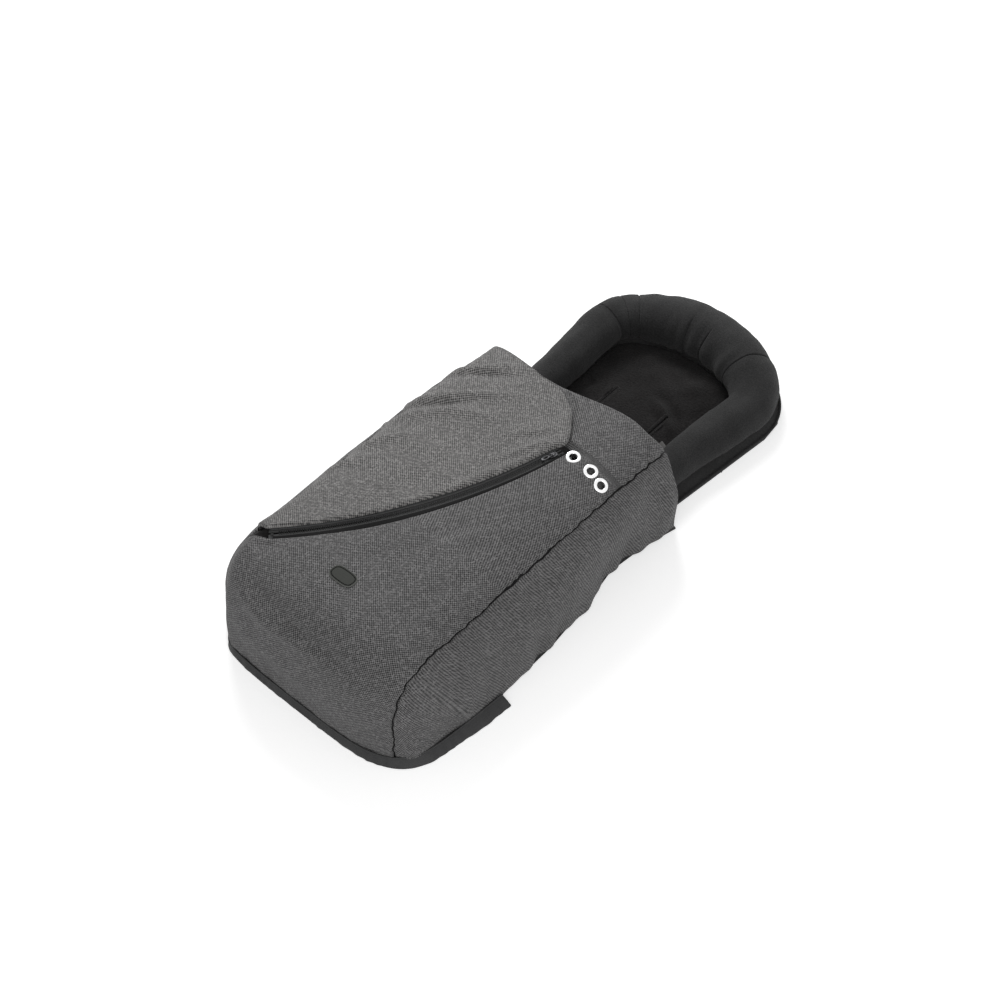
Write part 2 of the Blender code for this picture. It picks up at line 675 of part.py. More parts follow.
def build_teeth(name, side, offset, material, parent=None):
    """One row of moulded teeth on its cord; side is +1 on the front panel's tape."""
    start = TEETH_START + offset
    count = int((ZIP_LENGTH - TEETH_END - start) / TOOTH_PITCH)
    back = [zip_point(side * SPINE_OUTER, start + TOOTH_PITCH * (i + 0.5), 0.0)
            for i in range(-1, count + 1)]
    half = TOOTH_HEIGHT / 2
    bm = bmesh.new()
    levels = []
    for up in (-half, half):
        lift = ZIP_AXIS * up
        outer = [bm.verts.new(point + lift) for point in back]
        front = []
        for i in range(count):
            middle = start + TOOTH_PITCH * (i + 0.0)
            neck, head = TOOTH_NECK / 2, TOOTH_HEAD / 2
            front.append([bm.verts.new(zip_point(side * aside, middle + shift, up))
                          for aside, shift in ((SPINE_INNER, -neck), (-TOOTH_REACH, -head),
                                               (-TOOTH_REACH, head), (SPINE_INNER, neck))])
        ends = [bm.verts.new(zip_point(side * SPINE_INNER, start + TOOTH_PITCH * (i + 0.5), up))
                for i in (-1, count - 1)]
        levels.append((outer, front, ends))
    for outer, front, ends in levels:
        for i, tooth in enumerate(front):
            bm.faces.new(tooth)
            before = ends[0] if i == 0 else front[i - 1][3]
            after = ends[1] if i == count - 1 else front[i + 1][0]
            bm.faces.new((before, tooth[0], tooth[3], outer[i + 1], outer[i]))
            if i == count - 1:
                bm.faces.new((tooth[3], after, outer[i + 1]))
    low, high = levels
    edge_low = [low[2][0], *[v for tooth in low[1] for v in tooth], low[2][1]]
    edge_high = [high[2][0], *[v for tooth in high[1] for v in tooth], high[2][1]]
    edge_low += list(reversed(low[0][:count + 1]))
    edge_high += list(reversed(high[0][:count + 1]))
    for near_low, near_high, far_high, far_low in zip(
            edge_low, edge_high, edge_high[1:] + edge_high[:1], edge_low[1:] + edge_low[:1]):
        bm.faces.new((near_low, near_high, far_high, far_low))
    for spare in [v for v in bm.verts if not v.link_faces]:
        bm.verts.remove(spare)
    return finish_body(name, bm, material, parent)


def slider_frame():
    """Local X along the zip to the head, Y across to the flap, Z up."""
    place = zip_point(0.0, SLIDER_REST, 0.0)
    across = (ZIP_CENTRE - place).normalized()
    matrix = Matrix((across.cross(ZIP_AXIS), across, ZIP_AXIS)).transposed().to_4x4()
    matrix.translation = place
    return matrix


def build_slider(track, metal):
    frame = slider_frame()
    half, wide = SLIDER_LENGTH / 2, SLIDER_HALF_WIDTH
    inside, outside = SLIDER_CHANNEL / 2, SLIDER_CHANNEL / 2 + SLIDER_PLATE
    slot = SLIDER_SLOT / 2
    lap = SLIDER_PLATE / 3
    body = box_body("zip_slider", (-half, -wide, inside), (half, wide, outside), frame, metal, track)
    parts = [((-half, -wide, -outside), (half, wide, -inside))]
    neck = SLIDER_NECK_WIDTH / 2
    nose = half - SLIDER_FLANGE
    parts.append(((nose - SLIDER_NECK_LENGTH, -neck, -inside - lap), (nose, neck, inside + lap)))
    long, side = half - SLIDER_DRAFT, wide - SLIDER_DRAFT
    for low, high in ((slot, inside + lap), (-inside - lap, -slot)):
        parts.append(((-long, wide - SLIDER_FLANGE, low), (long, side, high)))
        parts.append(((-long, -side, low), (long, -wide + SLIDER_FLANGE, high)))
    bar_low = outside + BRIDGE_ROOM
    reach, bar_wide = BRIDGE_LENGTH / 2, BRIDGE_WIDTH / 2
    parts.append(((-reach, -bar_wide, bar_low), (reach, bar_wide, bar_low + BRIDGE_BAR)))
    leg_wide = bar_wide - SLIDER_DRAFT
    for end in (-1, 1):
        near, far = sorted((end * (reach - SLIDER_DRAFT), end * (reach - BRIDGE_BAR)))
        parts.append(((near, -leg_wide, outside - lap), (far, leg_wide, bar_low + lap)))
    for number, (low, high) in enumerate(parts):
        combine(body, box_body(f"slider_part_{number}", low, high, frame, metal, track), "UNION")
    return body


def pull_pin_place():
    up = SLIDER_CHANNEL / 2 + SLIDER_PLATE + BRIDGE_ROOM / 2
    return slider_frame() @ Vector((-PULL_PIN_BACK, 0.0, up))


def build_pull(hinge, metal):
    frame = slider_frame()
    up = SLIDER_CHANNEL / 2 + SLIDER_PLATE + BRIDGE_ROOM / 2
    pin, arm = PULL_PIN_RADIUS, BRIDGE_WIDTH / 2 + PULL_ARM_GAP
    out = arm + PULL_ARM_WIDTH
    thick = PULL_THICK / 2
    x = -PULL_PIN_BACK
    body = box_body("zip_pull", (x - PULL_LENGTH, -PULL_HALF_WIDTH, up - thick),
                    (x - PULL_CLEAR, PULL_HALF_WIDTH, up + thick), frame, metal, hinge)
    parts = [((x - pin, -out, up - pin), (x + pin, out, up + pin))]
    grip = pin - SLIDER_DRAFT
    for side in (-1, 1):
        low, high = sorted((side * arm, side * (out - SLIDER_DRAFT)))
        parts.append(((x - PULL_CLEAR - pin, low, up - grip), (x + grip, high, up + grip)))
    for number, (low, high) in enumerate(parts):
        combine(body, box_body(f"pull_part_{number}", low, high, frame, metal, hinge), "UNION")
    return body


def build_zip(flap_hinge, track, pull_hinge, tape, black, metal):
    thick = TAPE_THICK / 2
    outer = TAPE_INNER + TAPE_WIDTH
    zip_strip("zip_tape_front", rectangle(TAPE_INNER, outer, -thick, thick),
              0.0, ZIP_LENGTH, ZIP_STEPS, tape)
    zip_strip("zip_tape_flap", rectangle(-outer, -TAPE_INNER, -thick, thick),
              0.0, ZIP_LENGTH, ZIP_STEPS, tape, flap_hinge)
    low, high = thick + SEAT_GAP, ZIP_DEPTH - SEAT_GAP
    zip_strip("storm_placket", rectangle(-PLACKET_OUTER, -PLACKET_INNER, low, high),
              STOP_START, ZIP_LENGTH - STOP_START, ZIP_STEPS, black, flap_hinge)
    build_teeth("zip_teeth_front", 1, 0.0, metal)
    build_teeth("zip_teeth_flap", -1, TOOTH_PITCH / 2, metal, flap_hinge)
    stop_low, stop_high = thick + SEAT_GAP, TOOTH_HEIGHT / 2 + SEAT_GAP
    end = STOP_START + STOP_LENGTH
    near, far = TAPE_INNER + SEAT_GAP, TAPE_INNER + STOP_WIDTH
    zip_strip("zip_top_stop_front", rectangle(near, far, stop_low, stop_high),
              STOP_START, end, 1, metal)
    zip_strip("zip_top_stop_flap", rectangle(-far, -near, stop_low, stop_high),
              STOP_START, end, 1, metal, flap_hinge)
    foot = ZIP_LENGTH - STOP_START
    zip_strip("zip_bottom_stop", rectangle(-TOOTH_REACH, far, stop_low, stop_high),
              foot - STOP_LENGTH, foot, 1, metal)
    build_slider(track, metal)
    build_pull(pull_hinge, metal)


# Trim on the cover

def surface_frame(x, y):
    point = top_point_at(x, y)
    normal = cover_normal(point)
    point = point + normal * zip_shift(point)
    sideways = Vector((0.0, 1.0, 0.0)).cross(normal).normalized()
    matrix = Matrix((sideways, normal.cross(sideways), normal)).transposed().to_4x4()
    matrix.translation = point
    return matrix


def build_eyelets(front, steel):
    barrel = EYELET_HOLE + EYELET_SHEET
    top = -SHELL_THICK - WASHER_SEAT
    low = top - WASHER_THICK - SEAT_GAP
    wadding = bpy.data.objects["front_wadding"]
    clear = WASHER_RADIUS + LAYER_GAP
    for number, (from_seam, from_edge) in enumerate(EYELET_INSETS, 1):
        frame = surface_frame(SEAM_HALF_WIDTH - from_seam, HEAD_EDGE_Y - from_edge)
        seat = SEAT_GAP
        crest = seat + EYELET_ROLL
        profile = ((EYELET_HOLE, low), (barrel, low), (barrel, seat), (EYELET_RADIUS, seat),
                   (EYELET_RADIUS - EYELET_SHEET / 2, seat + EYELET_ROLL * 0.6),
                   ((EYELET_RADIUS + barrel) / 2, crest), (barrel, crest - EYELET_SHEET / 3),
                   (EYELET_HOLE, seat + EYELET_SHEET))
        turned_body(f"eyelet_{number}", profile, EYELET_SIDES, frame, steel)
        hole = barrel + EYELET_BARREL_CLEAR
        ring = ((hole, top - WASHER_THICK), (WASHER_RADIUS, top - WASHER_THICK),
                (WASHER_RADIUS, top), (hole, top))
        turned_body(f"eyelet_washer_{number}", ring, EYELET_SIDES, frame, steel)
        for word, body, radius in (("shell", front, hole), ("wadding", wadding, clear)):
            bm = bmesh.new()
            bmesh.ops.create_cone(bm, cap_ends=True, segments=EYELET_SIDES, radius1=radius, radius2=radius,
                                  depth=2 * COVER_STACK, matrix=frame)
            cutter = finish_body(f"{word}_cutter_{number}", bm, steel)
            combine(body, cutter, "DIFFERENCE")


def build_badge(rubber):
    """A small bare rubber patch, its corners round, lying on the panel."""
    rings = []
    for share, lift in ((1.0, 0.0), (0.9, BADGE_THICK * 0.25), (0.0, BADGE_THICK * 0.35)):
        ring = []
        half_x, half_y = BADGE_LENGTH / 2 * share, BADGE_WIDTH / 2 * share
        for i in range(20):
            turn = 2 * math.pi * i / 20
            reach = (abs(math.cos(turn)) ** 4 + abs(math.sin(turn)) ** 4) ** -0.25
            point = top_point_at(BADGE_X + half_x * reach * math.cos(turn),
                                 BADGE_Y + half_y * reach * math.sin(turn))
            ring.append((point + cover_normal(point) * zip_shift(point), cover_normal(point), lift))
        rings.append(ring)
    outer = [[p + n * (SEAT_GAP + BADGE_THICK * 0.65 + lift) for p, n, lift in ring] for ring in rings]
    inner = [[p + n * SEAT_GAP for p, n, lift in ring] for ring in rings]
    return two_sided_grid("badge_patch", outer, inner, rubber, closed=True)


def build_loop(webbing):
    """A webbing loop sewn inside the cover's head edge, by the bolster."""
    start = top_point_at(SEAM_HALF_WIDTH - LOOP_INSET, HEAD_EDGE_Y - LOOP_LAP)
    normal = cover_normal(start)
    root = start - normal * (COVER_STACK + LOOP_SEAT)
    half = LOOP_THICK / 2
    middle = []
    reach = LOOP_LAP + LOOP_REACH
    for i in range(13):
        share = i / 12
        along = math.sin(math.pi * min(1.0, share)) ** 0.5 if 0 < share < 1 else 0.0
        middle.append(root + Vector((0.0, 1.0, 0.0)) * reach * along
                      - normal * (half + LOOP_DROP * share))
    outer, inner = [], []
    side = Vector((0.0, 1.0, 0.0)).cross(normal).normalized() * (LOOP_WEB / 2)
    for i, point in enumerate(middle):
        ahead = middle[min(i + 1, 12)] - middle[max(i - 1, 0)]
        thick = ahead.normalized().cross(side.normalized()) * half
        outer.append([point + side + thick, point - side + thick])
        inner.append([point + side - thick, point - side - thick])
    return two_sided_grid("side_loop", outer, inner, webbing)


# The bolster

def bolster_station(angle_or_y, side=1):
    """Centre, outward direction, half width and half height at one place on the horseshoe."""
    if side:
        share = (angle_or_y - BOLSTER_ARM_END_Y) / (BOLSTER_TURN_Y - BOLSTER_ARM_END_Y)
        x = BOLSTER_ARM_END_X + (BOLSTER_SIDE_X - BOLSTER_ARM_END_X) * share
        slant = (BOLSTER_SIDE_X - BOLSTER_ARM_END_X) / (BOLSTER_TURN_Y - BOLSTER_ARM_END_Y)
        out = Vector((side, -slant, 0.0)).normalized()
        half = BOLSTER_ARM_HALF + (BOLSTER_SIDE_HALF - BOLSTER_ARM_HALF) * share
        rise = BOLSTER_ARM_RISE + (BOLSTER_SIDE_RISE - BOLSTER_ARM_RISE) * share
        return Vector((side * x, angle_or_y, 0.0)), out, half, rise
    turn = math.radians(angle_or_y)
    centre = Vector((BOLSTER_SIDE_X * math.cos(turn),
                     BOLSTER_TURN_Y + BOLSTER_TURN_DEPTH * math.sin(turn), 0.0))
    out = Vector((math.cos(turn) / BOLSTER_SIDE_X, math.sin(turn) / BOLSTER_TURN_DEPTH, 0.0))
    swell = math.sin(turn)
    half = BOLSTER_SIDE_HALF + (BOLSTER_HEAD_HALF - BOLSTER_SIDE_HALF) * swell
    rise = BOLSTER_SIDE_RISE + (BOLSTER_HEAD_RISE - BOLSTER_SIDE_RISE) * swell
    return centre, out.normalized(), half, rise


def bolster_stations():
    arm = [BOLSTER_ARM_END_Y + (BOLSTER_TURN_Y - BOLSTER_ARM_END_Y) * share
           for share in (0.0, 0.22, 0.48, 0.76)]
    stations = [(bolster_station(y, 1), 0.0) for y in arm]
    angles = {0.0: 0.0, 16.0: 0.0, 32.0: 0.0, 66.0: 0.0, 116.0: 0.0, 130.0: 0.0}
    for seam in BOLSTER_SEAM_ANGLES:
        angles[seam - SEAM_HALF_ANGLE] = 0.0
        angles[seam] = 1.0
        angles[seam + SEAM_HALF_ANGLE] = 0.0
    stations += [(bolster_station(angle, 0), angles[angle]) for angle in sorted(angles)]
    stations += [(bolster_station(y, -1), 0.0) for y in reversed(arm)]
    return stations


def bolster_ring(station, groove, inset):
    centre, out, half, rise = station
    draw = 1 - BOLSTER_GROOVE_SHARE * groove
    middle = rise * math.cos(math.pi / BOLSTER_SIDES)
    ring = []
    for i in range(BOLSTER_SIDES):
        angle = 2 * math.pi * (i + 0.5) / BOLSTER_SIDES - math.pi / 2
        up, wide = math.sin(angle), math.cos(angle)
        pull = draw if up > -0.9 else 1.0
        ring.append(centre + out * (wide * (half * pull - inset))
                    + Vector((0.0, 0.0, RIM_Z + middle + up * (rise * pull - inset))))
    return ring


def build_bolster(black, padding):
    stations = bolster_stations()
    outer = [bolster_ring(station, groove, 0.0) for station, groove in stations]
    inner = [bolster_ring(station, groove, BOLSTER_SKIN) for station, groove in stations]
    two_sided_grid("bolster_cover", outer, inner, black, closed=True)
    bm = bmesh.new()
    inset = BOLSTER_SKIN + LAYER_GAP
    rings = []
    for number, (station, groove) in enumerate(stations):
        ring = bolster_ring(station, groove, inset)
        if number in (0, len(stations) - 1):
            ring = [point + Vector((0.0, inset * 2, 0.0)) for point in ring]
        rings.append([bm.verts.new(point) for point in ring])
    for near, far in zip(rings, rings[1:]):
        for j in range(BOLSTER_SIDES):
            k = (j + 1) % BOLSTER_SIDES
            bm.faces.new((near[j], near[k], far[k]))
            bm.faces.new((near[j], far[k], far[j]))
    bm.faces.new(rings[0])
    bm.faces.new(rings[-1])
    finish_body("bolster_filling", bm, padding)


# The base

def rim_points(side, head_end=1.0):
    """The cover's bottom edge on one side, from the head end to the foot's middle."""
    rows = [share for share in (1.0, 0.88, 0.72, 0.54, 0.36, 0.18, 0.0) if share <= head_end]
    points = [side_point(side, row, 0.0) for row in rows]
    points += [side_point(side, -1.0, SEAM_GIRTH * share)
               for share in reversed(GUSSET_GIRTH_SHARES[:-1])]
    right = SEAM_HALF_WIDTH - SEAM_GAP
    turn = right * PANEL_EDGE_COLUMN_SHARES[0]
    points += [top_point(side * right * share, -1.0)
               for share in reversed(PANEL_EDGE_COLUMN_SHARES[:-1])]
    points.append(top_point(side * turn / 3, -1.0))
    return [(point, cover_normal(point)) for point in points]


def base_outline(grow, cover_end, arm_aside, arm_start):
    """Cover rim moved out by grow up to cover_end, then the horseshoe's own line."""
    halves = []
    for side in (1, -1):
        head_y = head_edge_y(side * SEAM_HALF_WIDTH) + GUSSET_FLARE
        half = [point + normal * grow for point, normal in rim_points(side)]
        half = [point for point in half if point.y < cover_end - HEM_DEPTH]
        end = side_point(side, min(1.0, (cover_end - FOOT_BEND_Y) / (head_y - FOOT_BEND_Y)), 0.0)
        end += cover_normal(end) * grow
        end.y = cover_end
        halves.append([end] + half)
    arms = []
    for side in (1, -1):
        arm = []
        for share in (0.0, 0.25, 0.5, 0.75):
            y = arm_start + (BOLSTER_TURN_Y - arm_start) * share
            centre, out, wide, _ = bolster_station(y, side)
            arm.append(centre + out * arm_aside(wide))
        arms.append(arm)
    turn = []
    for i in range(13):
        centre, out, wide, _ = bolster_station(180.0 * i / 12, 0)
        turn.append(centre + out * arm_aside(wide))
    line = list(reversed(halves[0])) + arms[0] + turn + list(reversed(arms[1])) + halves[1]
    return [(point.x, point.y) for point in line]


def slot_cutters(low, high, grow, tag):
    cutters = []
    for number, (x, y) in enumerate(slot_places()):
        outline = slot_outline(x, y, grow)
        cutters.append(prism(f"slot_cutter_{tag}_{number}", outline, low, high,
                             bpy.data.materials["grip_sheet"]))
    return cutters


def slot_places():
    return ((0.0, CROTCH_SLOT_Y), (SHOULDER_SLOT_X, SHOULDER_SLOT_Y),
            (-SHOULDER_SLOT_X, SHOULDER_SLOT_Y))


def slot_outline(x, y, grow):
    half, reach = SLOT_WIDTH / 2 + grow, SLOT_LENGTH / 2 - SLOT_WIDTH / 2
    points = []
    for end in (1, -1):
        for i in range(5):
            turn = math.pi * i / 4 + (0.0 if end == 1 else math.pi)
            points.append((x + half * math.cos(turn), y + end * reach + half * math.sin(turn)))
    return points


def build_base(nylon, padding, fleece, webbing):
    overrun = BASE_THICK
    cover_end = head_edge_y(-SEAM_HALF_WIDTH) + GUSSET_FLARE
    panel = prism("base_panel",
                  base_outline(BASE_LIP, head_edge_y(SEAM_HALF_WIDTH) + GUSSET_FLARE + BASE_LIP,
                               lambda wide: wide + PIPING_RADIUS * 1.5, cover_end + HEM_DEPTH * 6),
                  0.0, BASE_THICK, nylon)
    wide = COVER_HALF_WIDTH * 1.5
    recess = box_body("pocket_recess", (-wide, -wide * 3, -overrun),
                      (wide, POCKET_MOUTH_Y + SEAT_GAP, POCKET_THICK + SEAT_GAP),
                      Matrix.Identity(4), nylon)
    combine(panel, recess, "DIFFERENCE")
    low = RIM_Z
    high = low + BASE_WADDING_THICK
    inside = -COVER_STACK - LAYER_GAP * 2
    arm_end = BOLSTER_ARM_END_Y - HEM_DEPTH
    inner_line = base_outline(inside, arm_end - SEAT_GAP,
                              lambda wide: -wide * MAT_INSIDE_SHARE, arm_end)
    wadding = prism("base_wadding", inner_line, low, high, padding)
    mat = build_mat(inner_line, high + SEAT_GAP, fleece)
    for body, tag in ((panel, "panel"), (wadding, "wadding"), (mat, "mat")):
        top = high + MAT_THICK + overrun
        for cutter in slot_cutters(-overrun, top, 0.0, tag):
            combine(body, cutter, "DIFFERENCE")
    build_slot_bindings(webbing, high + SEAT_GAP + MAT_THICK)
    build_pocket(nylon)
    build_piping(nylon)


def build_mat(outline, low, fleece):
    """The fleece mat, its edge rolled."""
    bm = bmesh.new()
    rings = []
    steps = ((0.0, 0.0), (0.0, MAT_THICK / 2), (MAT_ROLL, MAT_THICK))
    count = len(outline)
    lines = [Vector((x, y, 0.0)) for x, y in outline]
    inward = []
    for i, point in enumerate(lines):
        along = (lines[(i + 1) % count] - lines[i - 1]).normalized()
        inward.append(Vector((-along.y, along.x, 0.0)))
    if sum(a.x * b.y - b.x * a.y for a, b in zip(lines, lines[1:])) < 0:
        inward = [-step for step in inward]
    for inset, up in steps:
        rings.append([bm.verts.new(point + step * inset + Vector((0.0, 0.0, low + up)))
                      for point, step in zip(lines, inward)])
    for near, far in zip(rings, rings[1:]):
        for j in range(count):
            k = (j + 1) % count
            bm.faces.new((near[j], near[k], far[k], far[j]))
    bm.faces.new(rings[0])
    bm.faces.new(rings[-1])
    return finish_body("liner_mat", bm, fleece)


def build_slot_bindings(webbing, top):
    """A flat sewn ring round each harness slot, on the mat."""
    for number, (x, y) in enumerate(slot_places(), 1):
        low = top + SEAT_GAP
        high = low + SLOT_BINDING_THICK
        inner = slot_outline(x, y, 0.0)
        outer = slot_outline(x, y, SLOT_BINDING_WIDTH)
        rings = [[Vector((px, py, z)) for px, py in line]
                 for line, z in ((inner, high), (outer, high))]
        under = [[Vector((px, py, low)) for px, py in line] for line in (inner, outer)]
        two_sided_grid(f"slot_binding_{number}", rings, under, webbing, closed=True)


def pocket_profile(normal):
    flare = POCKET_FLARE_FOOT + (POCKET_FLARE_SIDE - POCKET_FLARE_FOOT) * abs(normal.x)
    thick = POCKET_THICK
    outer = ((POCKET_SEAT + thick, POCKET_WALL), (flare, thick), (flare - thick / 2, 0.0),
             (-POCKET_TURN_IN, 0.0))
    inner = ((POCKET_SEAT, POCKET_WALL), (flare - thick * 1.5, thick * 1.3),
             (flare - thick * 2, thick), (-POCKET_TURN_IN, thick))
    return outer, inner


def pocket_rows():
    rows = []
    for side in (1, -1):
        head_y = head_edge_y(side * SEAM_HALF_WIDTH) + GUSSET_FLARE
        mouth = (POCKET_MOUTH_Y - FOOT_BEND_Y) / (head_y - FOOT_BEND_Y)
        first = side_point(side, mouth, 0.0)
        middle = top_point(0.0, -1.0)
        rows.append([(first, cover_normal(first)), *rim_points(side, 0.0),
                     (middle, cover_normal(middle))])
    return list(zip(*rows))


def build_pocket(nylon):
    """The wipeable pocket under the feet, closed round the foot, open to the head."""
    outer, inner = [], []
    for right, left in pocket_rows():
        lines = []
        for which in (0, 1):
            sides = []
            for point, normal in (right, left):
                profile = pocket_profile(normal)[which]
                side = [Vector((point.x, point.y, 0.0)) + normal * aside
                        + Vector((0.0, 0.0, up)) for aside, up in profile]
                sides.append([Vector((p.x, min(p.y, POCKET_MOUTH_Y), p.z)) for p in side])
            middle = (sides[0][-1] + sides[1][-1]) / 2
            lines.append(sides[0] + [middle] + list(reversed(sides[1])))
        outer.append(lines[0])
        inner.append(lines[1])
    two_sided_grid("foot_pocket", outer, inner, nylon, folded=True)
    low = POCKET_WALL + SEAT_GAP
    high = low + POCKET_BINDING_HEIGHT
    rights, lefts = zip(*pocket_rows())
    line = list(rights) + list(reversed(lefts[:-1]))
    near, far = POCKET_SEAT, POCKET_SEAT + POCKET_BINDING_THICK
    outer, inner = [], []
    for point, normal in line:
        flat = Vector((point.x, point.y, 0.0))
        outer.append([flat + normal * far + Vector((0.0, 0.0, up)) for up in (low, high)])
        inner.append([flat + normal * near + Vector((0.0, 0.0, up)) for up in (low, high)])
    two_sided_grid("pocket_binding", outer, inner, nylon)


def build_piping(nylon):
    """A corded edge round the head end, where the bolster is sewn to the base."""
    points = []
    start = head_edge_y(SEAM_HALF_WIDTH) + GUSSET_FLARE + HEM_DEPTH * 2
    stations = [bolster_station(start + (BOLSTER_TURN_Y - start) * share, 1)
                for share in (0.0, 0.33, 0.66)]
    stations += [bolster_station(180.0 * i / 16, 0) for i in range(17)]
    stations += [bolster_station(start + (BOLSTER_TURN_Y - start) * share, -1)
                 for share in (0.66, 0.33, 0.0)]
    for centre, out, half, _ in stations:
        points.append((centre + out * (half + PIPING_RADIUS * 0.4), out))
    outer = []
    for point, out in points:
        ring = []
        for i in range(6):
            turn = 2 * math.pi * (i + 0.5) / 6
            ring.append(point + out * PIPING_RADIUS * math.cos(turn)
                        + Vector((0.0, 0.0, RIM_Z + PIPING_RADIUS * (0.87 + math.sin(turn)))))
        outer.append(ring)
    bm = bmesh.new()
    rings = [[bm.verts.new(point) for point in ring] for ring in outer]
    for near, far in zip(rings, rings[1:]):
        for j in range(6):
            k = (j + 1) % 6
            bm.faces.new((near[j], near[k], far[k], far[j]))
    bm.faces.new(rings[0])
    bm.faces.new(rings[-1])
    finish_body("head_piping", bm, nylon)


def build_zip_end(black):
    """The black tab that closes the notch between the flap's foot edge and the front panel."""
    rows = []
    left = -SEAM_HALF_WIDTH + TAB_INSET
    for row in TAB_ROW_SHARES:
        low, high = left, 0.0
        for _ in range(30):
            middle = (low + high) / 2
            if zip_place(top_point(middle, row))[1] > ZIP_LENGTH + 3 * SEAT_GAP:
                low = middle
            else:
                high = middle
        wadding = front_left_x(row, INNER_SIDE_REACH, 0.0, INNER_STEP_ROW_SHARES)
        right = min(low, max(wadding - HEM_DEPTH, left + HEM_DEPTH))
        rows.append([top_point(left + (right - left) * share, row) for share in TAB_COLUMN_SHARES])
    top = -SHELL_THICK - TAB_DROP
    return layer_body("zip_end_tab", rows, lambda i, point: top,
                      lambda i, point: top - POCKET_THICK, black)


def main():
    clear_scene()
    grey = make_material("marl_grey", (0.105, 0.105, 0.107), 0.92)
    light_grey = make_material("marl_light_grey", (0.17, 0.168, 0.163), 0.92)
    black = make_material("bolster_black", (0.028, 0.028, 0.029), 0.85)
    fleece = make_material("fleece_black", (0.016, 0.015, 0.016), 0.98)
    nylon = make_material("grip_sheet", (0.035, 0.035, 0.036), 0.75)
    padding = make_material("white_wadding", (0.75, 0.75, 0.73), 0.95)
    tape = make_material("zip_tape", (0.022, 0.022, 0.023), 0.8)
    metal = make_material("gunmetal", (0.06, 0.06, 0.065), 0.35, 1.0)
    steel = make_material("bright_steel", (0.82, 0.82, 0.82), 0.22, 1.0)
    rubber = make_material("badge_rubber", (0.068, 0.072, 0.064), 0.6)
    webbing = make_material("webbing", (0.03, 0.03, 0.03), 0.8)

    seam_z = RIM_Z + COVER_HEIGHT * SEAM_GIRTH
    flap_hinge = pivot("flap_hinge", (-SEAM_HALF_WIDTH, (FOOT_BEND_Y + HEAD_EDGE_Y) / 2, seam_z))
    track = pivot("zip_track_centre", ZIP_CENTRE)
    pull_hinge = pivot("pull_hinge", pull_pin_place())

    front = build_front(grey, padding, fleece)
    for side, word in ((1, "right"), (-1, "left")):
        build_gusset(side, word, grey, padding, fleece)
    build_flap(flap_hinge, light_grey, padding, fleece)
    build_zip(flap_hinge, track, pull_hinge, tape, black, metal)
    build_zip_end(black)
    build_eyelets(front, steel)
    build_badge(rubber)
    build_loop(webbing)
    build_bolster(black, padding)
    build_base(nylon, padding, fleece, webbing)
    print("flap hinge", tuple(round(v, 5) for v in flap_hinge.location))
    print("zip track centre", tuple(round(v, 5) for v in ZIP_CENTRE),
          "axis", tuple(round(v, 6) for v in ZIP_AXIS), "length", round(ZIP_LENGTH, 5))
    print("slider travel, degrees",
          round(math.degrees((ZIP_LENGTH - 2 * SLIDER_REST - STOP_LENGTH) / ZIP_TRACK_RADIUS), 3))
    across = slider_frame().col[1].to_3d()
    print("pull pin", tuple(round(v, 5) for v in pull_pin_place()),
          "axis", tuple(round(v, 6) for v in across))


main()
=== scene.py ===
# %% [markdown]
# A padded footmuff for a pushchair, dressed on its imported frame. The frame brings every
# part at its true size, so this lesson only makes what the eye looks for: soft panels,
# seams, cloth, metal and stitches. Lengths are metres, +Y runs to the head end, +Z is up.

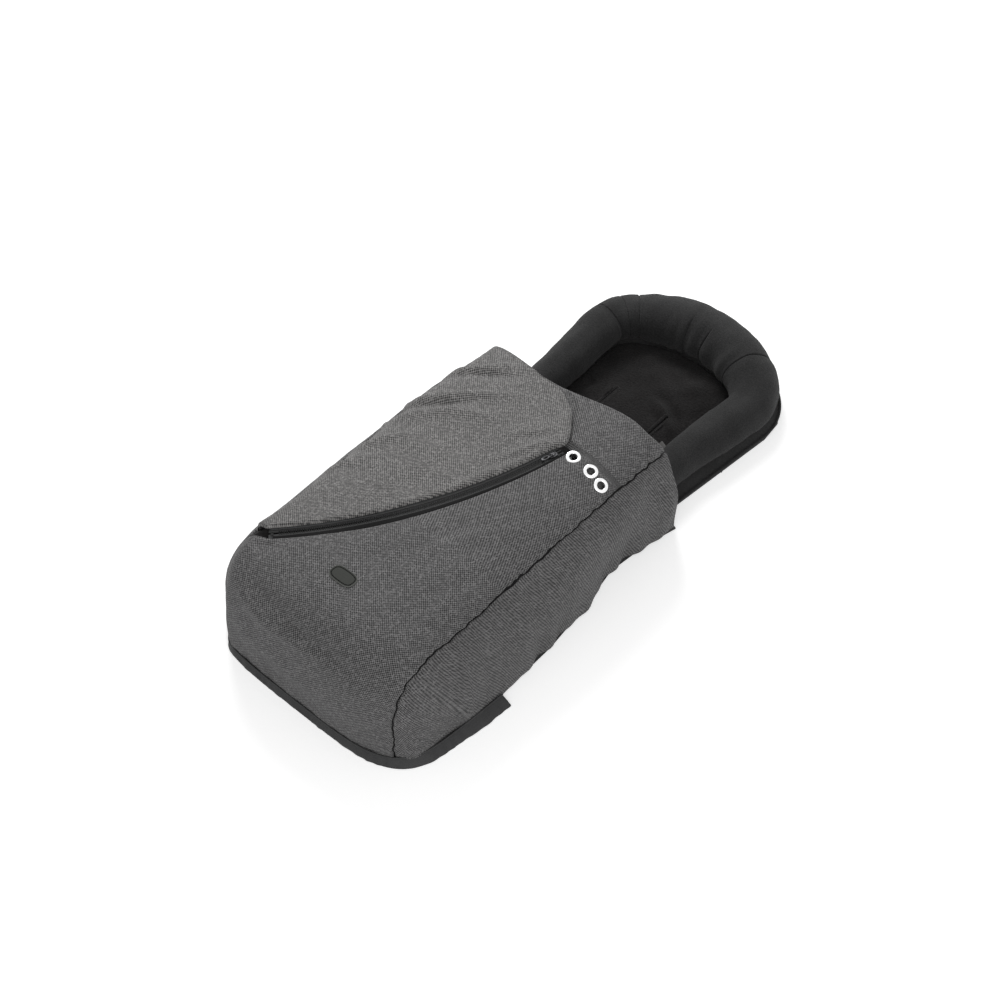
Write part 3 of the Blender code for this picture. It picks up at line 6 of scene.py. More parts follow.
# %% Load the frame
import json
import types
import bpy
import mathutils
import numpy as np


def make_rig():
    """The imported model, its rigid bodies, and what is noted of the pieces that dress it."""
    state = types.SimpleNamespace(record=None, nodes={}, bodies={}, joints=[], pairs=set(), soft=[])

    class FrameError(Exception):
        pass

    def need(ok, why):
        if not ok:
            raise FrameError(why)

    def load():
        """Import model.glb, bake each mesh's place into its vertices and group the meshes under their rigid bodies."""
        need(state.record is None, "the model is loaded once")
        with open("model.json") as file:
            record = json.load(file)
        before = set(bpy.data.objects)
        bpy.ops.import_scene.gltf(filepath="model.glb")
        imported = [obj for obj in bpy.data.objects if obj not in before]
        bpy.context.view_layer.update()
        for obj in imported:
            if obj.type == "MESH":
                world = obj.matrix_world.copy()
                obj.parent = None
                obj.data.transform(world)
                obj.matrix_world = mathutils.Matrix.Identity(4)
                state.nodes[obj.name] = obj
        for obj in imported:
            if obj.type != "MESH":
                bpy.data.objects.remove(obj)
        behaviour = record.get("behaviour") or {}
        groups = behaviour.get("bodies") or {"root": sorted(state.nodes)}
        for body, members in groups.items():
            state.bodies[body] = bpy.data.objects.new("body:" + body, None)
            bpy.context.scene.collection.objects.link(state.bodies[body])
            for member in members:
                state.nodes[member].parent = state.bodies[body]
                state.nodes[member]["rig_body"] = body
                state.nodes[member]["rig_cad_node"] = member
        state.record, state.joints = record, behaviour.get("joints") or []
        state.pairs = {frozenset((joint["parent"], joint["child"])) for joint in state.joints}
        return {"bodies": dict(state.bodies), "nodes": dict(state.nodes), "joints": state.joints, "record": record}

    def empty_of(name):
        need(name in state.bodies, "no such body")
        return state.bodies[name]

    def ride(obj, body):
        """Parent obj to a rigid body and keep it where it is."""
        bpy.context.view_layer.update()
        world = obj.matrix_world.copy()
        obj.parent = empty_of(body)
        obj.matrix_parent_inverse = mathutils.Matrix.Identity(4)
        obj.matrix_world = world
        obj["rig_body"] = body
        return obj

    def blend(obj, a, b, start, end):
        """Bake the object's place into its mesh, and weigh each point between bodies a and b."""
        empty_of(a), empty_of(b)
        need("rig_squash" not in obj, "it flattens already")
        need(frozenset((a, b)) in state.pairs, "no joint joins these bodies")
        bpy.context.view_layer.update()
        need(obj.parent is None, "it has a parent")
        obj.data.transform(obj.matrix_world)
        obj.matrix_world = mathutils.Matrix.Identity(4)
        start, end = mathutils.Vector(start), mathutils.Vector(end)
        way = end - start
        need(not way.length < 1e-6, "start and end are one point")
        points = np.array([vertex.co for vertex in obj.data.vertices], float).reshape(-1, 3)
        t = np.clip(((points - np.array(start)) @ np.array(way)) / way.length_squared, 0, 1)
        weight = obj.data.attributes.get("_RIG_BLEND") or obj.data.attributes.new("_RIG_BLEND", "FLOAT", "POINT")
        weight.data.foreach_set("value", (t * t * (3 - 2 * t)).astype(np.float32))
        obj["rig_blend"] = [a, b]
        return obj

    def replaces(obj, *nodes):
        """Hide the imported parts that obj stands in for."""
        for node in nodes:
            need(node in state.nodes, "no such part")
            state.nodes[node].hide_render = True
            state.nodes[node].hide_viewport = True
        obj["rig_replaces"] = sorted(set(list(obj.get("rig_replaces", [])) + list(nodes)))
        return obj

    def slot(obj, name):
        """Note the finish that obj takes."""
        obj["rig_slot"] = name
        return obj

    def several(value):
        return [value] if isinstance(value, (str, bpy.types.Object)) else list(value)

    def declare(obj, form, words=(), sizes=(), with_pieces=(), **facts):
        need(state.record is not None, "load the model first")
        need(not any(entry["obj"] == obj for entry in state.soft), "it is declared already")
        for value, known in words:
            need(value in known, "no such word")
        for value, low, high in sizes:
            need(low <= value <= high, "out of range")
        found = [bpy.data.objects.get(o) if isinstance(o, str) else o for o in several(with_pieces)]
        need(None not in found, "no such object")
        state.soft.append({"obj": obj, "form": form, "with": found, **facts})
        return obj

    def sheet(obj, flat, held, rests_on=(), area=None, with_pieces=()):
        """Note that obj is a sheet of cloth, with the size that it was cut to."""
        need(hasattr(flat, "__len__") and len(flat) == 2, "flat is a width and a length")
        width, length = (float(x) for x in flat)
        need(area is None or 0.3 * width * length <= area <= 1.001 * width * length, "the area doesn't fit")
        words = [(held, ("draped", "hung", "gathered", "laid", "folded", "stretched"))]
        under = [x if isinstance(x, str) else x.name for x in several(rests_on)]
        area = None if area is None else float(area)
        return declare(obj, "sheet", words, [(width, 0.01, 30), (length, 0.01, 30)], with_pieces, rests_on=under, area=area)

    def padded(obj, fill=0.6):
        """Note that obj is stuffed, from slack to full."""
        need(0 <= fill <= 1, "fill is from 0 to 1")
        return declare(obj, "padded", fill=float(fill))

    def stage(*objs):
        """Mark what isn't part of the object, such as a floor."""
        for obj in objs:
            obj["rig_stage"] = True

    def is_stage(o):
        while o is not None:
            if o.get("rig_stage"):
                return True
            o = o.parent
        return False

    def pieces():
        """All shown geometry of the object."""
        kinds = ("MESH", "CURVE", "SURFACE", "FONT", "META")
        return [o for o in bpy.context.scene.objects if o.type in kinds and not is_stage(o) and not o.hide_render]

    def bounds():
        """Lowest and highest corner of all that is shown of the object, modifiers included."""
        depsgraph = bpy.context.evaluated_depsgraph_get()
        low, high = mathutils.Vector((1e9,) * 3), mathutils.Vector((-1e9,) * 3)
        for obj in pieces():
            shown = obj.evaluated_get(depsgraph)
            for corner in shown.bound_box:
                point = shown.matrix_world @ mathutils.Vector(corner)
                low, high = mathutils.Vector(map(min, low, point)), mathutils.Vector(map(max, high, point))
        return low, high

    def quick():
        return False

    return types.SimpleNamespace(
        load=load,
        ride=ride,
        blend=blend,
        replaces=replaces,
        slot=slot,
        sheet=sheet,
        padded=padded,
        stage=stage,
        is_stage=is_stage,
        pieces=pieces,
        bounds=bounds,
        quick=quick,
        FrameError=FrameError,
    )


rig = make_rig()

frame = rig.load()
packed_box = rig.bounds()

import json
import math

import bmesh
import bpy
import numpy as np
from mathutils import Matrix, Vector
from mathutils.bvhtree import BVHTree


def put_in_scene(name, data):
    """A new object with its data, linked to the scene."""
    thing = bpy.data.objects.new(name, data)
    bpy.context.scene.collection.objects.link(thing)
    return thing


def plain_mesh(thing):
    """An object's mesh with its modifiers carried out."""
    depsgraph = bpy.context.evaluated_depsgraph_get()
    return bpy.data.meshes.new_from_object(thing.evaluated_get(depsgraph))


def filled_mesh(name, bm):
    """A mesh from what was built in bm, which is then let go."""
    mesh = bpy.data.meshes.new(name)
    bm.to_mesh(mesh)
    bm.free()
    return mesh


def dress(piece, body, slot, *nodes):
    """Say a piece's body and slot, and the frame's nodes that it stands for."""
    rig.ride(piece, body)
    if nodes:
        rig.replaces(piece, *nodes)
    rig.slot(piece, slot)


print("bodies", sorted(frame["bodies"]), "nodes", len(frame["nodes"]))
print("packed box", [[round(v, 4) for v in corner] for corner in packed_box])

# %% [markdown]
# The camera stands where the photographer stood: 42 degrees round to the wearer's left
# and 48 degrees up. A long lens keeps the far end of the footmuff from shrinking. The
# camera could be placed by eye, but two angles and a distance are easier to check.

# %% Camera
CAMERA_ROUND = math.radians(42)
CAMERA_UP = math.radians(48)
CAMERA_DISTANCE = 2.85
CAMERA_TARGET = Vector((-0.0409, -0.023, 0.0))
FILM_WIDTH = 36.0
LENS = FILM_WIDTH * 1.83

toward_camera = Vector((math.sin(CAMERA_ROUND) * math.cos(CAMERA_UP),
                        -math.cos(CAMERA_ROUND) * math.cos(CAMERA_UP), math.sin(CAMERA_UP)))
camera = put_in_scene("camera", bpy.data.cameras.new("camera"))
camera.data.lens = LENS
camera.data.sensor_width = FILM_WIDTH
camera.location = CAMERA_TARGET + toward_camera * CAMERA_DISTANCE
camera.rotation_euler = toward_camera.to_track_quat("Z", "Y").to_euler()
bpy.context.scene.camera = camera
bpy.context.scene.view_settings.view_transform = "Standard"
print("camera at", [round(v, 3) for v in camera.location])

# %% [markdown]
# A finish is a small network of nodes. Building a dozen of them by hand means typing the
# same calls again and again, so a short helper adds a node, sets its plain values and
# links what is passed as a socket.

# %% Node helpers
def add_node(tree, kind, settings=None, **inputs):
    """Add a node; inputs are named sockets, given a value or another node's output."""
    node = tree.nodes.new(kind)
    for key, value in (settings or {}).items():
        setattr(node, key, value)
    for key, value in inputs.items():
        key = key.replace("_", " ")
        socket = node.inputs[int(key[1:])] if key[1:].isdigit() else node.inputs[key]
        if isinstance(value, bpy.types.NodeSocket):
            tree.links.new(value, socket)
        else:
            socket.default_value = value
    return node


def sum_of(tree, operation, first, second):
    return add_node(tree, "ShaderNodeMath", {"operation": operation},
                    n0=first, n1=second).outputs[0]


def new_finish(name, roughness, metallic=0.0, sheen=0.0, specular=0.5):
    material = bpy.data.materials.new(name)
    material.use_nodes = True
    tree = material.node_tree
    shader = tree.nodes["Principled BSDF"]
    for key, value in (("Roughness", roughness), ("Metallic", metallic), ("Sheen Weight", sheen),
                       ("Sheen Roughness", 0.6), ("Specular IOR Level", specular)):
        shader.inputs[key].default_value = value
    return material, tree, shader


def ramp_between(tree, factor, dark, light, low, high):
    """A ramp between two colours; a colour that is one number is a grey."""
    ramp = add_node(tree, "ShaderNodeValToRGB", Fac=factor)
    for end, place, colour in zip(ramp.color_ramp.elements, (low, high), (dark, light)):
        end.position, end.color = place, (*np.broadcast_to(colour, 3), 1.0)
    return ramp.outputs["Color"]


def bump_from(tree, height, depth, shader):
    bump = add_node(tree, "ShaderNodeBump", Height=height, Distance=depth, Strength=1.0)
    tree.links.new(bump.outputs["Normal"], shader.inputs["Normal"])


def noise(tree, scale, detail, roughness=0.5, where=None, settings=None):
    """A noise pattern, on the piece's own coordinates unless a map is given."""
    if where is None:
        where = add_node(tree, "ShaderNodeTexCoord").outputs["Object"]
    return add_node(tree, "ShaderNodeTexNoise", settings, Vector=where, Scale=scale,
                    Detail=detail, Roughness=roughness).outputs["Fac"]


def paint(tree, shader, colour):
    tree.links.new(colour, shader.inputs["Base Color"])

# %% [markdown]
# The grey cover is a woven marl: light and dark yarns in a plain weave, so that close up
# it is a field of speckles. The weave is drawn on a map that runs along the cloth in real
# metres. Two sines make the crossings, over and under in turn, and each crossing takes its
# own shade from a random number, now and then a bright fleck. Slow clouds keep a large
# panel from looking printed.

# %% Marl cloth
YARN = 0.0020
WEAVE_PART, CHANCE_PART, SPARK_PART, FIBRE_PART = 0.62, 0.28, 0.46, 0.42


def marl_cloth(name, dark, light, cloud):
    material, tree, shader = new_finish(name, 0.92, sheen=0.10, specular=0.25)
    along = add_node(tree, "ShaderNodeUVMap", {"uv_map": "cloth"}).outputs["UV"]
    yarns = add_node(tree, "ShaderNodeVectorMath", {"operation": "SCALE"}, n0=along)
    yarns.inputs["Scale"].default_value = 1 / YARN
    crossing = add_node(tree, "ShaderNodeVectorMath", {"operation": "FLOOR"}, n0=yarns.outputs[0])
    chance = add_node(tree, "ShaderNodeTexWhiteNoise", {"noise_dimensions": "2D"},
                      Vector=crossing.outputs[0])
    fibres = noise(tree, 2.3, 2.0, 0.7, yarns.outputs[0], {"noise_dimensions": "2D"})
    clouds = noise(tree, 9.0, 2.0)
    parts = add_node(tree, "ShaderNodeSeparateXYZ", Vector=yarns.outputs[0])
    warp, weft = (sum_of(tree, "SINE", sum_of(tree, "MULTIPLY", part, math.pi), 0.0)
                  for part in (parts.outputs[0], parts.outputs[1]))
    weave = sum_of(tree, "MULTIPLY", warp, weft)
    spark = sum_of(tree, "POWER", chance.outputs["Value"], 5.0)
    shade = sum_of(tree, "MULTIPLY", weave, WEAVE_PART)
    for value, part in ((chance.outputs["Value"], CHANCE_PART), (spark, SPARK_PART),
                        (fibres, FIBRE_PART)):
        shade = sum_of(tree, "ADD", shade, sum_of(tree, "MULTIPLY", value, part))
    colour = ramp_between(tree, shade, dark, light, 0.00, 1.05)
    tint = ramp_between(tree, clouds, 1 - cloud, 1 + cloud, 0.3, 0.7)
    mixed = add_node(tree, "ShaderNodeMix", {"data_type": "RGBA", "blend_type": "MULTIPLY"})
    mixed.inputs["Factor"].default_value = 1.0
    tree.links.new(colour, mixed.inputs[6])
    tree.links.new(tint, mixed.inputs[7])
    paint(tree, shader, mixed.outputs[2])
    height = sum_of(tree, "ADD", sum_of(tree, "MULTIPLY", weave, 0.5),
                    sum_of(tree, "MULTIPLY", fibres, 0.5))
    bump_from(tree, height, 0.0006, shader)
    return material


marl = marl_cloth("marl grey", (0.0145, 0.0143, 0.0145), (0.196, 0.192, 0.193), 0.05)
light_marl = marl_cloth("marl light grey", (0.030, 0.0294, 0.0289), (0.277, 0.270, 0.2655), 0.04)
print("marl cloth with a crossing every", YARN * 1000, "mm")

# %% [markdown]
# The black goods are three different cloths: a matt jersey on the bolster, a short fleece
# inside, and a coated nylon underneath. Black is never flat. The jersey has fine ribs and
# a soft sheen, the fleece a deep cloudy nap, and the nylon a tight grain with a low gloss.
# The strips, threads, badge and mouldings are small, so the same recipe does for them.

# %% Black cloths
def soft_black(name, dark, light, roughness, sheen, grain_size, depth, specular=0.3):
    material, tree, shader = new_finish(name, roughness, sheen=sheen, specular=specular)
    nap, clouds = noise(tree, 1 / grain_size, 3.0, 0.65), noise(tree, 14.0, 2.0)
    mixed = add_node(tree, "ShaderNodeMath", {"operation": "MULTIPLY_ADD"}, n0=nap, n1=0.65,
                     n2=sum_of(tree, "MULTIPLY", clouds, 0.35)).outputs[0]
    paint(tree, shader, ramp_between(tree, mixed, dark, light, 0.35, 0.68))
    bump_from(tree, nap, depth, shader)
    return material


jersey = soft_black("bolster jersey", (0.0030, 0.0030, 0.0031), (0.0245, 0.0245, 0.0248),
                    0.9, 0.06, 0.0022, 0.0012, 0.22)
fleece = soft_black("black fleece", (0.0038, 0.0034, 0.0034), (0.0172, 0.0159, 0.0159), 1.0, 0.05,
                    0.0032, 0.0024, 0.12)
nylon = soft_black("coated nylon", (0.020, 0.020, 0.0205), (0.042, 0.042, 0.043), 0.62, 0.04,
                   0.0012, 0.0003)
# Partly the base edge's own jersey-like cloth, partly painted light: lighter than the bolster's jersey to offset the
# shade on that edge.
base_edge_cloth_painted_light = soft_black("edge strip", 0.024, (0.050, 0.050, 0.0505), 0.9, 0.1, 0.0024, 0.0008)
webbing = soft_black("webbing", (0.030, 0.030, 0.031), (0.070, 0.070, 0.072), 0.75, 0.10,
                     0.0010, 0.0006)
light_web = soft_black("light webbing", (0.045, 0.043, 0.042), (0.10, 0.097, 0.095), 0.8, 0.10,
                       0.0010, 0.0006)
# Painted shade: a near-black cloth laid where shade falls, deep in the right seam, along the front panel's edge under
# the band, and in the badge's groove.
shade_black_cloth = soft_black("zip tape", 0.005, 0.014, 0.85, 0.02, 0.0009, 0.0004, 0.06)
# Painted light: the placket's and tapes' cloth is made lighter than it is, to offset the shade that the flap's edge
# casts on the band.
band_cloth_painted_light = soft_black("placket cloth", (0.050, 0.0505, 0.051), (0.076, 0.0765, 0.077), 0.8, 0.04,
                        0.0012, 0.0003, 0.15)
end_lining = soft_black("end lining", (0.013, 0.0125, 0.0125), (0.030, 0.0285, 0.0285), 0.9, 0.03,
                        0.0016, 0.0005, 0.1)
thread = soft_black("black thread", 0.015, 0.04, 0.7, 0.1, 0.0006, 0.0002)
net = soft_black("eyelet net", 0.004, 0.12, 0.8, 0.0, 0.0030, 0.0010)
rubber = soft_black("badge rubber", (0.0315, 0.0332, 0.0297), (0.0400, 0.0418, 0.0378), 0.70, 0.0,
                    0.0011, 0.0002, 0.16)
# Painted highlight: a lighter rubber for the badge rim's outer band.
rim_highlight_rubber = soft_black("badge edge", (0.085, 0.087, 0.080), (0.125, 0.127, 0.118), 0.5, 0.0,
                         0.0011, 0.0002)
moulding = soft_black("black moulding", 0.010, 0.024, 0.60, 0.0, 0.0020, 0.0001, 0.12)
print("black cloths ready")

# %% [markdown]
# Two metals: bright steel for the eyelets and a dark gunmetal for the zip. Pressed and
# tumbled metal is never a mirror, so a fine noise moves its roughness and dents it a little.

# %% Metals
def metal(name, dark, light, roughness):
    material, tree, shader = new_finish(name, roughness, metallic=1.0)
    wear = noise(tree, 600.0, 4.0)
    paint(tree, shader, ramp_between(tree, wear, dark, light, 0.35, 0.7))
    spread = add_node(tree, "ShaderNodeMapRange", Value=wear,
                      To_Min=roughness * 0.7, To_Max=roughness * 1.35)
    tree.links.new(spread.outputs[0], shader.inputs["Roughness"])
    bump_from(tree, wear, 0.00008, shader)
    return material


steel = metal("bright steel", 0.86, 0.97, 0.28)
gunmetal = metal("gunmetal", (0.022, 0.022, 0.023), (0.075, 0.075, 0.078), 0.42)
print("metals ready")

# %% [markdown]
# The cover is a padded box. Its cross section and its foot end are both superellipses: a
# rectangle whose sides bow and whose corners are round. The same few sizes that shaped the
# frame shape the cloth here, as functions that take whole grids of points at once.

# %% Shape of the cover
HALF_WIDTH, HEIGHT, SEAM_X = 0.206, 0.186, 0.176
BEND_Y, BEND_DEPTH = -0.360, 0.145
CROSS_POWER, FOOT_POWER = 4.2, 3.7
BASE_THICK, SEAT = 0.0035, 0.0003
RIM = BASE_THICK + SEAT
HEAD_Y, GUSSET_FLARE = 0.090, 0.010
STACK = 0.0137
SEAM_GIRTH = (1 - (SEAM_X / HALF_WIDTH) ** CROSS_POWER) ** (1 / CROSS_POWER)


def ease(share):
    share = np.clip(share, 0.0, 1.0)
    return share * share * (3 - 2 * share)


def hump(y, centre, spread):
    return np.exp(-((y - centre) / spread) ** 2)


def cover_height(x, y):
    return HEIGHT * (1 + 0.06 * hump(y, -0.060, 0.160) * ease((x + 0.050) / (SEAM_X + 0.050)))


def side_bulge(y, girth):
    low = 0.0095 * hump(y, -0.270, 0.120) - 0.011 * hump(y, -0.015, 0.060)
    return np.where(girth < SEAM_GIRTH,
                    low * (1 - np.minimum(girth / SEAM_GIRTH, 1.0) ** 2) ** 2, 0.0)


def head_edge_y(x):
    rise, fall = ease((x + 0.030) / 0.145), ease((x - 0.115) / (SEAM_X - 0.115))
    return HEAD_Y + 0.019 * rise - 0.006 * fall


def top_girth(x):
    return np.maximum(0.0, 1 - (np.abs(x) / HALF_WIDTH) ** CROSS_POWER) ** (1 / CROSS_POWER)


def on_cover(x, row, girth, head_y, height_x):
    """Row -1 is the foot's bottom edge, 0 the bend and 1 the head edge."""
    angle = np.clip(-row, 0.0, 1.0) * np.pi / 2
    out, up = np.sin(angle), np.cos(angle)
    reach = (out ** FOOT_POWER + np.abs(up) ** FOOT_POWER) ** (-1 / FOOT_POWER)
    y = np.where(row >= 0, BEND_Y + (head_y - BEND_Y) * row,
                 BEND_Y - BEND_DEPTH * girth * reach * out)
    z = RIM + cover_height(height_x, y) * girth * np.where(row >= 0, 1.0, reach * up)
    return np.stack(np.broadcast_arrays(x, y, z), -1)


def top_point(x, row):
    return on_cover(x, row, top_girth(x), head_edge_y(x), x)


def top_point_at(x, y):
    out = np.clip((BEND_Y - y) / BEND_DEPTH, 0.0, 1.0)
    up = np.maximum(0.0, top_girth(x) ** FOOT_POWER - out ** FOOT_POWER) ** (1 / FOOT_POWER)
    return np.stack(np.broadcast_arrays(x, y, RIM + cover_height(x, y) * up), -1)


def side_point(side, row, girth):
    seam_x = side * SEAM_X
    head_y = head_edge_y(np.asarray(seam_x)) + GUSSET_FLARE * (1 - girth / SEAM_GIRTH)
    point = on_cover(np.full(np.broadcast(row, girth).shape, seam_x), row, girth, head_y, seam_x)
    wide = HALF_WIDTH * (1 - girth ** CROSS_POWER) ** (1 / CROSS_POWER)
    point[..., 0] = side * (wide + side_bulge(point[..., 1], girth))
    return point


def cover_value(p):
    up = np.maximum(0.0, p[..., 2] - RIM) / cover_height(p[..., 0], p[..., 1])
    out = np.maximum(0.0, BEND_Y - p[..., 1]) / BEND_DEPTH
    girth = (up ** FOOT_POWER + out ** FOOT_POWER) ** (1 / FOOT_POWER)
    across = (np.abs(p[..., 0]) - side_bulge(p[..., 1], girth)) / HALF_WIDTH
    return np.maximum(0.0, across) ** CROSS_POWER + girth ** CROSS_POWER


def unit(v):
    return v / np.maximum(np.linalg.norm(v, axis=-1, keepdims=True), 1e-12)


def cover_normal(p):
    step = 5e-5 * np.eye(3)
    return unit(np.stack([cover_value(p + step[k]) - cover_value(p - step[k])
                          for k in range(3)], -1))


print("seam at", round(SEAM_X, 3), "m, its girth share", round(SEAM_GIRTH, 3))

# %% [markdown]
# The zip runs over the cover on one arc of a tilted circle, so that the slider can ride
# it as on a curved rail. Three points give the circle. Every place near the zip then has
# three plain numbers: how far aside of the chain, how far along it, and how high above.

# %% The zip's line
ZIP_DEPTH, ZIP_BLEND = 0.003, 0.070


def zip_anchor(x, y):
    return Vector(top_point_at(np.asarray(x), np.asarray(y))) - Vector((0, 0, ZIP_DEPTH))


zip_head = Vector((SEAM_X - 0.0977, HEAD_Y - 0.1113))
zip_foot = Vector((0.0447 - SEAM_X, BEND_Y - BEND_DEPTH * 0.3276))
lean = (zip_foot - zip_head).normalized()
zip_middle = (zip_head + zip_foot) / 2 + Vector((-lean.y, lean.x)) * 0.03225
first, middle, last = (zip_anchor(*place) for place in (zip_head, zip_middle, zip_foot))
ab, ac = middle - first, last - first
cross = ab.cross(ac)
ZIP_AXIS = cross.normalized() if cross.z > 0 else -cross.normalized()
ZIP_CENTRE = first + (ac.length_squared * cross.cross(ab)
                      + ab.length_squared * ac.cross(cross)) / (2 * cross.length_squared)
ZIP_RADIUS = (first - ZIP_CENTRE).length
ZIP_OUT = (first - ZIP_CENTRE).normalized()
ZIP_ALONG = ZIP_OUT.cross(ZIP_AXIS).normalized()
ZIP_LENGTH = ZIP_OUT.angle((last - ZIP_CENTRE).normalized()) * ZIP_RADIUS


def zip_point(aside, along, up):
    """Aside is positive towards the front panel; along runs from the head end."""
    aside, along, up = np.broadcast_arrays(aside, along, up)
    turn = along / ZIP_RADIUS
    flat = (np.cos(turn)[..., None] * np.array(ZIP_OUT)
            + np.sin(turn)[..., None] * np.array(ZIP_ALONG))
    return np.array(ZIP_CENTRE) + flat * (ZIP_RADIUS + aside)[..., None] \
        + np.array(ZIP_AXIS) * up[..., None]


def zip_place(p):
    arm = p - np.array(ZIP_CENTRE)
    up = arm @ np.array(ZIP_AXIS)
    flat = arm - up[..., None] * np.array(ZIP_AXIS)
    turn = np.arctan2(flat @ np.array(ZIP_ALONG), flat @ np.array(ZIP_OUT))
    return np.linalg.norm(flat, axis=-1) - ZIP_RADIUS, turn * ZIP_RADIUS, up


def zip_shift(p):
    """How far cloth moves out, or in, to lie level with the zip beside it."""
    aside, along, up = zip_place(p)
    beyond = np.maximum(0.0, np.maximum(-along, along - ZIP_LENGTH))
    near = ease(1 - np.abs(aside) / ZIP_BLEND) * ease(1 - beyond / ZIP_BLEND)
    return (ZIP_DEPTH - up) * near * ease((SEAM_X - np.abs(p[..., 0])) / (ZIP_BLEND / 2))


def level_with_zip(points):
    return points + cover_normal(points) * zip_shift(points)[..., None]


def zip_edge_x(place, aside):
    """Where each row of the cover, given by place(x), crosses the zip's line."""
    low, high = -SEAM_X, SEAM_X
    for _ in range(34):
        half = (low + high) / 2
        nearer = zip_place(place(half))[0] < aside
        low, high = np.where(nearer, half, low), np.where(nearer, high, half)
    return (low + high) / 2


print("zip arc", round(ZIP_LENGTH, 4), "m long on a radius of", round(ZIP_RADIUS, 4))

# %% [markdown]
# Every padded panel is sewn the same way: a face, a wadding and a lining, joined round the
# edge. Here each is one closed skin. Its face and its back are grids that meet in a
# rounded edge, and a small drop at the edge makes the dark valley that the eye reads as a
# seam. A map in metres goes along with the cloth, for the weave.

# %% Sewn panel
def crowded(count, crowd=0.85):
    """Shares from 0 to 1, close together at both ends, where an edge is rounded."""
    share = np.linspace(0.0, 1.0, count)
    return share - crowd * np.sin(2 * np.pi * share) / (2 * np.pi)


def running_length(points, axis):
    steps = np.linalg.norm(np.diff(points, axis=axis), axis=-1)
    return np.concatenate([np.zeros_like(np.take(steps, [0], axis)), np.cumsum(steps, axis)], axis)


def edge_reach(points):
    """Distance of each point to the left, right, first and last edge of its grid."""
    across, along = running_length(points, 1), running_length(points, 0)
    return across, across[:, -1:] - across, along, along[-1:] - along


def dome(distance, radius):
    return np.sqrt(np.maximum(0.0, 1 - (1 - np.minimum(distance / radius, 1.0)) ** 2))


LINING_INSET = 3
LEAST_CLOTH = 0.0008


def listed_mesh(name, points, faces, edges=()):
    mesh = bpy.data.meshes.new(name)
    mesh.from_pydata(np.asarray(points).reshape(-1, 3).tolist(), list(edges), faces)
    return mesh


def closed_skin(name, face, back, finish, cloth_map=None, lining=None):
    """Two grids that meet round their edge; cloth_map is where each point was cut from.

    The lining, where there is one, covers the back to a few rows from its edge.
    """
    rows, columns = face.shape[:2]
    count = rows * columns
    points = np.concatenate([face.reshape(-1, 3), back.reshape(-1, 3)])
    i, j = np.meshgrid(np.arange(rows - 1), np.arange(columns - 1), indexing="ij")
    a = (i * columns + j).ravel()
    quads = np.stack([a, a + 1, a + columns + 1, a + columns], 1)
    inside = (i >= LINING_INSET) & (i < rows - 1 - LINING_INSET) & (j >= LINING_INSET) \
        & (j < columns - 1 - LINING_INSET)
    lined = np.concatenate([0 * a, inside.ravel().astype(int)])
    quads = np.concatenate([quads, quads[:, ::-1] + count])
    i, j = np.arange(rows - 1) * columns, np.arange(columns - 1)
    last_column, last_row = columns - 1, (rows - 1) * columns
    for near, far in ((i + columns, i), (i + last_column, i + columns + last_column),
                      (j, j + 1), (j + 1 + last_row, j + last_row)):
        quads = np.concatenate([quads, np.stack([near, far, far + count, near + count], 1)])
    mesh = listed_mesh(name, points, quads.tolist())
    if cloth_map is None:
        cloth_map = np.stack([running_length(face, 1), running_length(face, 0)], -1)
    flat = np.concatenate([cloth_map.reshape(-1, 2)] * 2)
    layer = mesh.uv_layers.new(name="cloth")
    layer.data.foreach_set("uv", flat[quads.ravel()].ravel().astype(np.float32))
    if lining is not None:
        lined = np.concatenate([lined, np.zeros(len(quads) - len(lined), dtype=int)])
        mesh.polygons.foreach_set("material_index", lined.tolist())
    return finished(name, mesh, finish, lining=lining)


def finished(name, mesh, finish, crease=None, lining=None):
    """Merge what touches, turn the faces out, smooth, and give the finish."""
    bm = bmesh.new()
    bm.from_mesh(mesh)
    bmesh.ops.remove_doubles(bm, verts=bm.verts, dist=2e-6)
    bmesh.ops.dissolve_degenerate(bm, edges=bm.edges, dist=1e-6)
    bmesh.ops.recalc_face_normals(bm, faces=bm.faces)
    bm.to_mesh(mesh)
    bm.free()
    which = [polygon.material_index for polygon in mesh.polygons]
    mesh.materials.clear()
    mesh.materials.append(finish)
    if lining is not None:
        mesh.materials.append(lining)
        mesh.polygons.foreach_set("material_index", which)
    mesh.polygons.foreach_set("use_smooth", [True] * len(mesh.polygons))
    if crease is not None:
        mesh.set_sharp_from_angle(angle=math.radians(crease))
    piece = put_in_scene(name, mesh)
    print(name, len(mesh.polygons), "faces, size",
          [round(v, 3) for v in (np.ptp([v.co for v in mesh.vertices], axis=0))])
    return piece


def sewn_panel(name, points, finish, lift, low, drops, rounds, back_rounds, cloth_map=None):
    """Lift is the face's relief; drops and rounds are for the four edges in turn."""
    normal = cover_normal(points)
    reach = edge_reach(points)
    low = np.minimum(low, lift - LEAST_CLOTH)
    face = lift.copy()
    for distance, drop, radius in zip(reach, drops, rounds):
        face -= drop * (1 - dome(distance, radius))
    share = np.min([dome(distance, radius) for distance, radius in zip(reach, back_rounds)], 0)
    back = face + (low - face) * share
    return closed_skin(name, points + normal * face[..., None],
                       points + normal * back[..., None], finish, cloth_map, fleece)


def cut_size(grid):
    """The width, length and area that a grid of cloth was cut to."""
    size = tuple(float(running_length(grid, axis).max(axis=axis).mean()) for axis in (1, 0))
    crossed = np.cross(grid[1:, 1:] - grid[:-1, :-1], grid[1:, :-1] - grid[:-1, 1:])
    return {"flat": size, "area": float(np.linalg.norm(crossed, axis=-1).sum() / 2)}


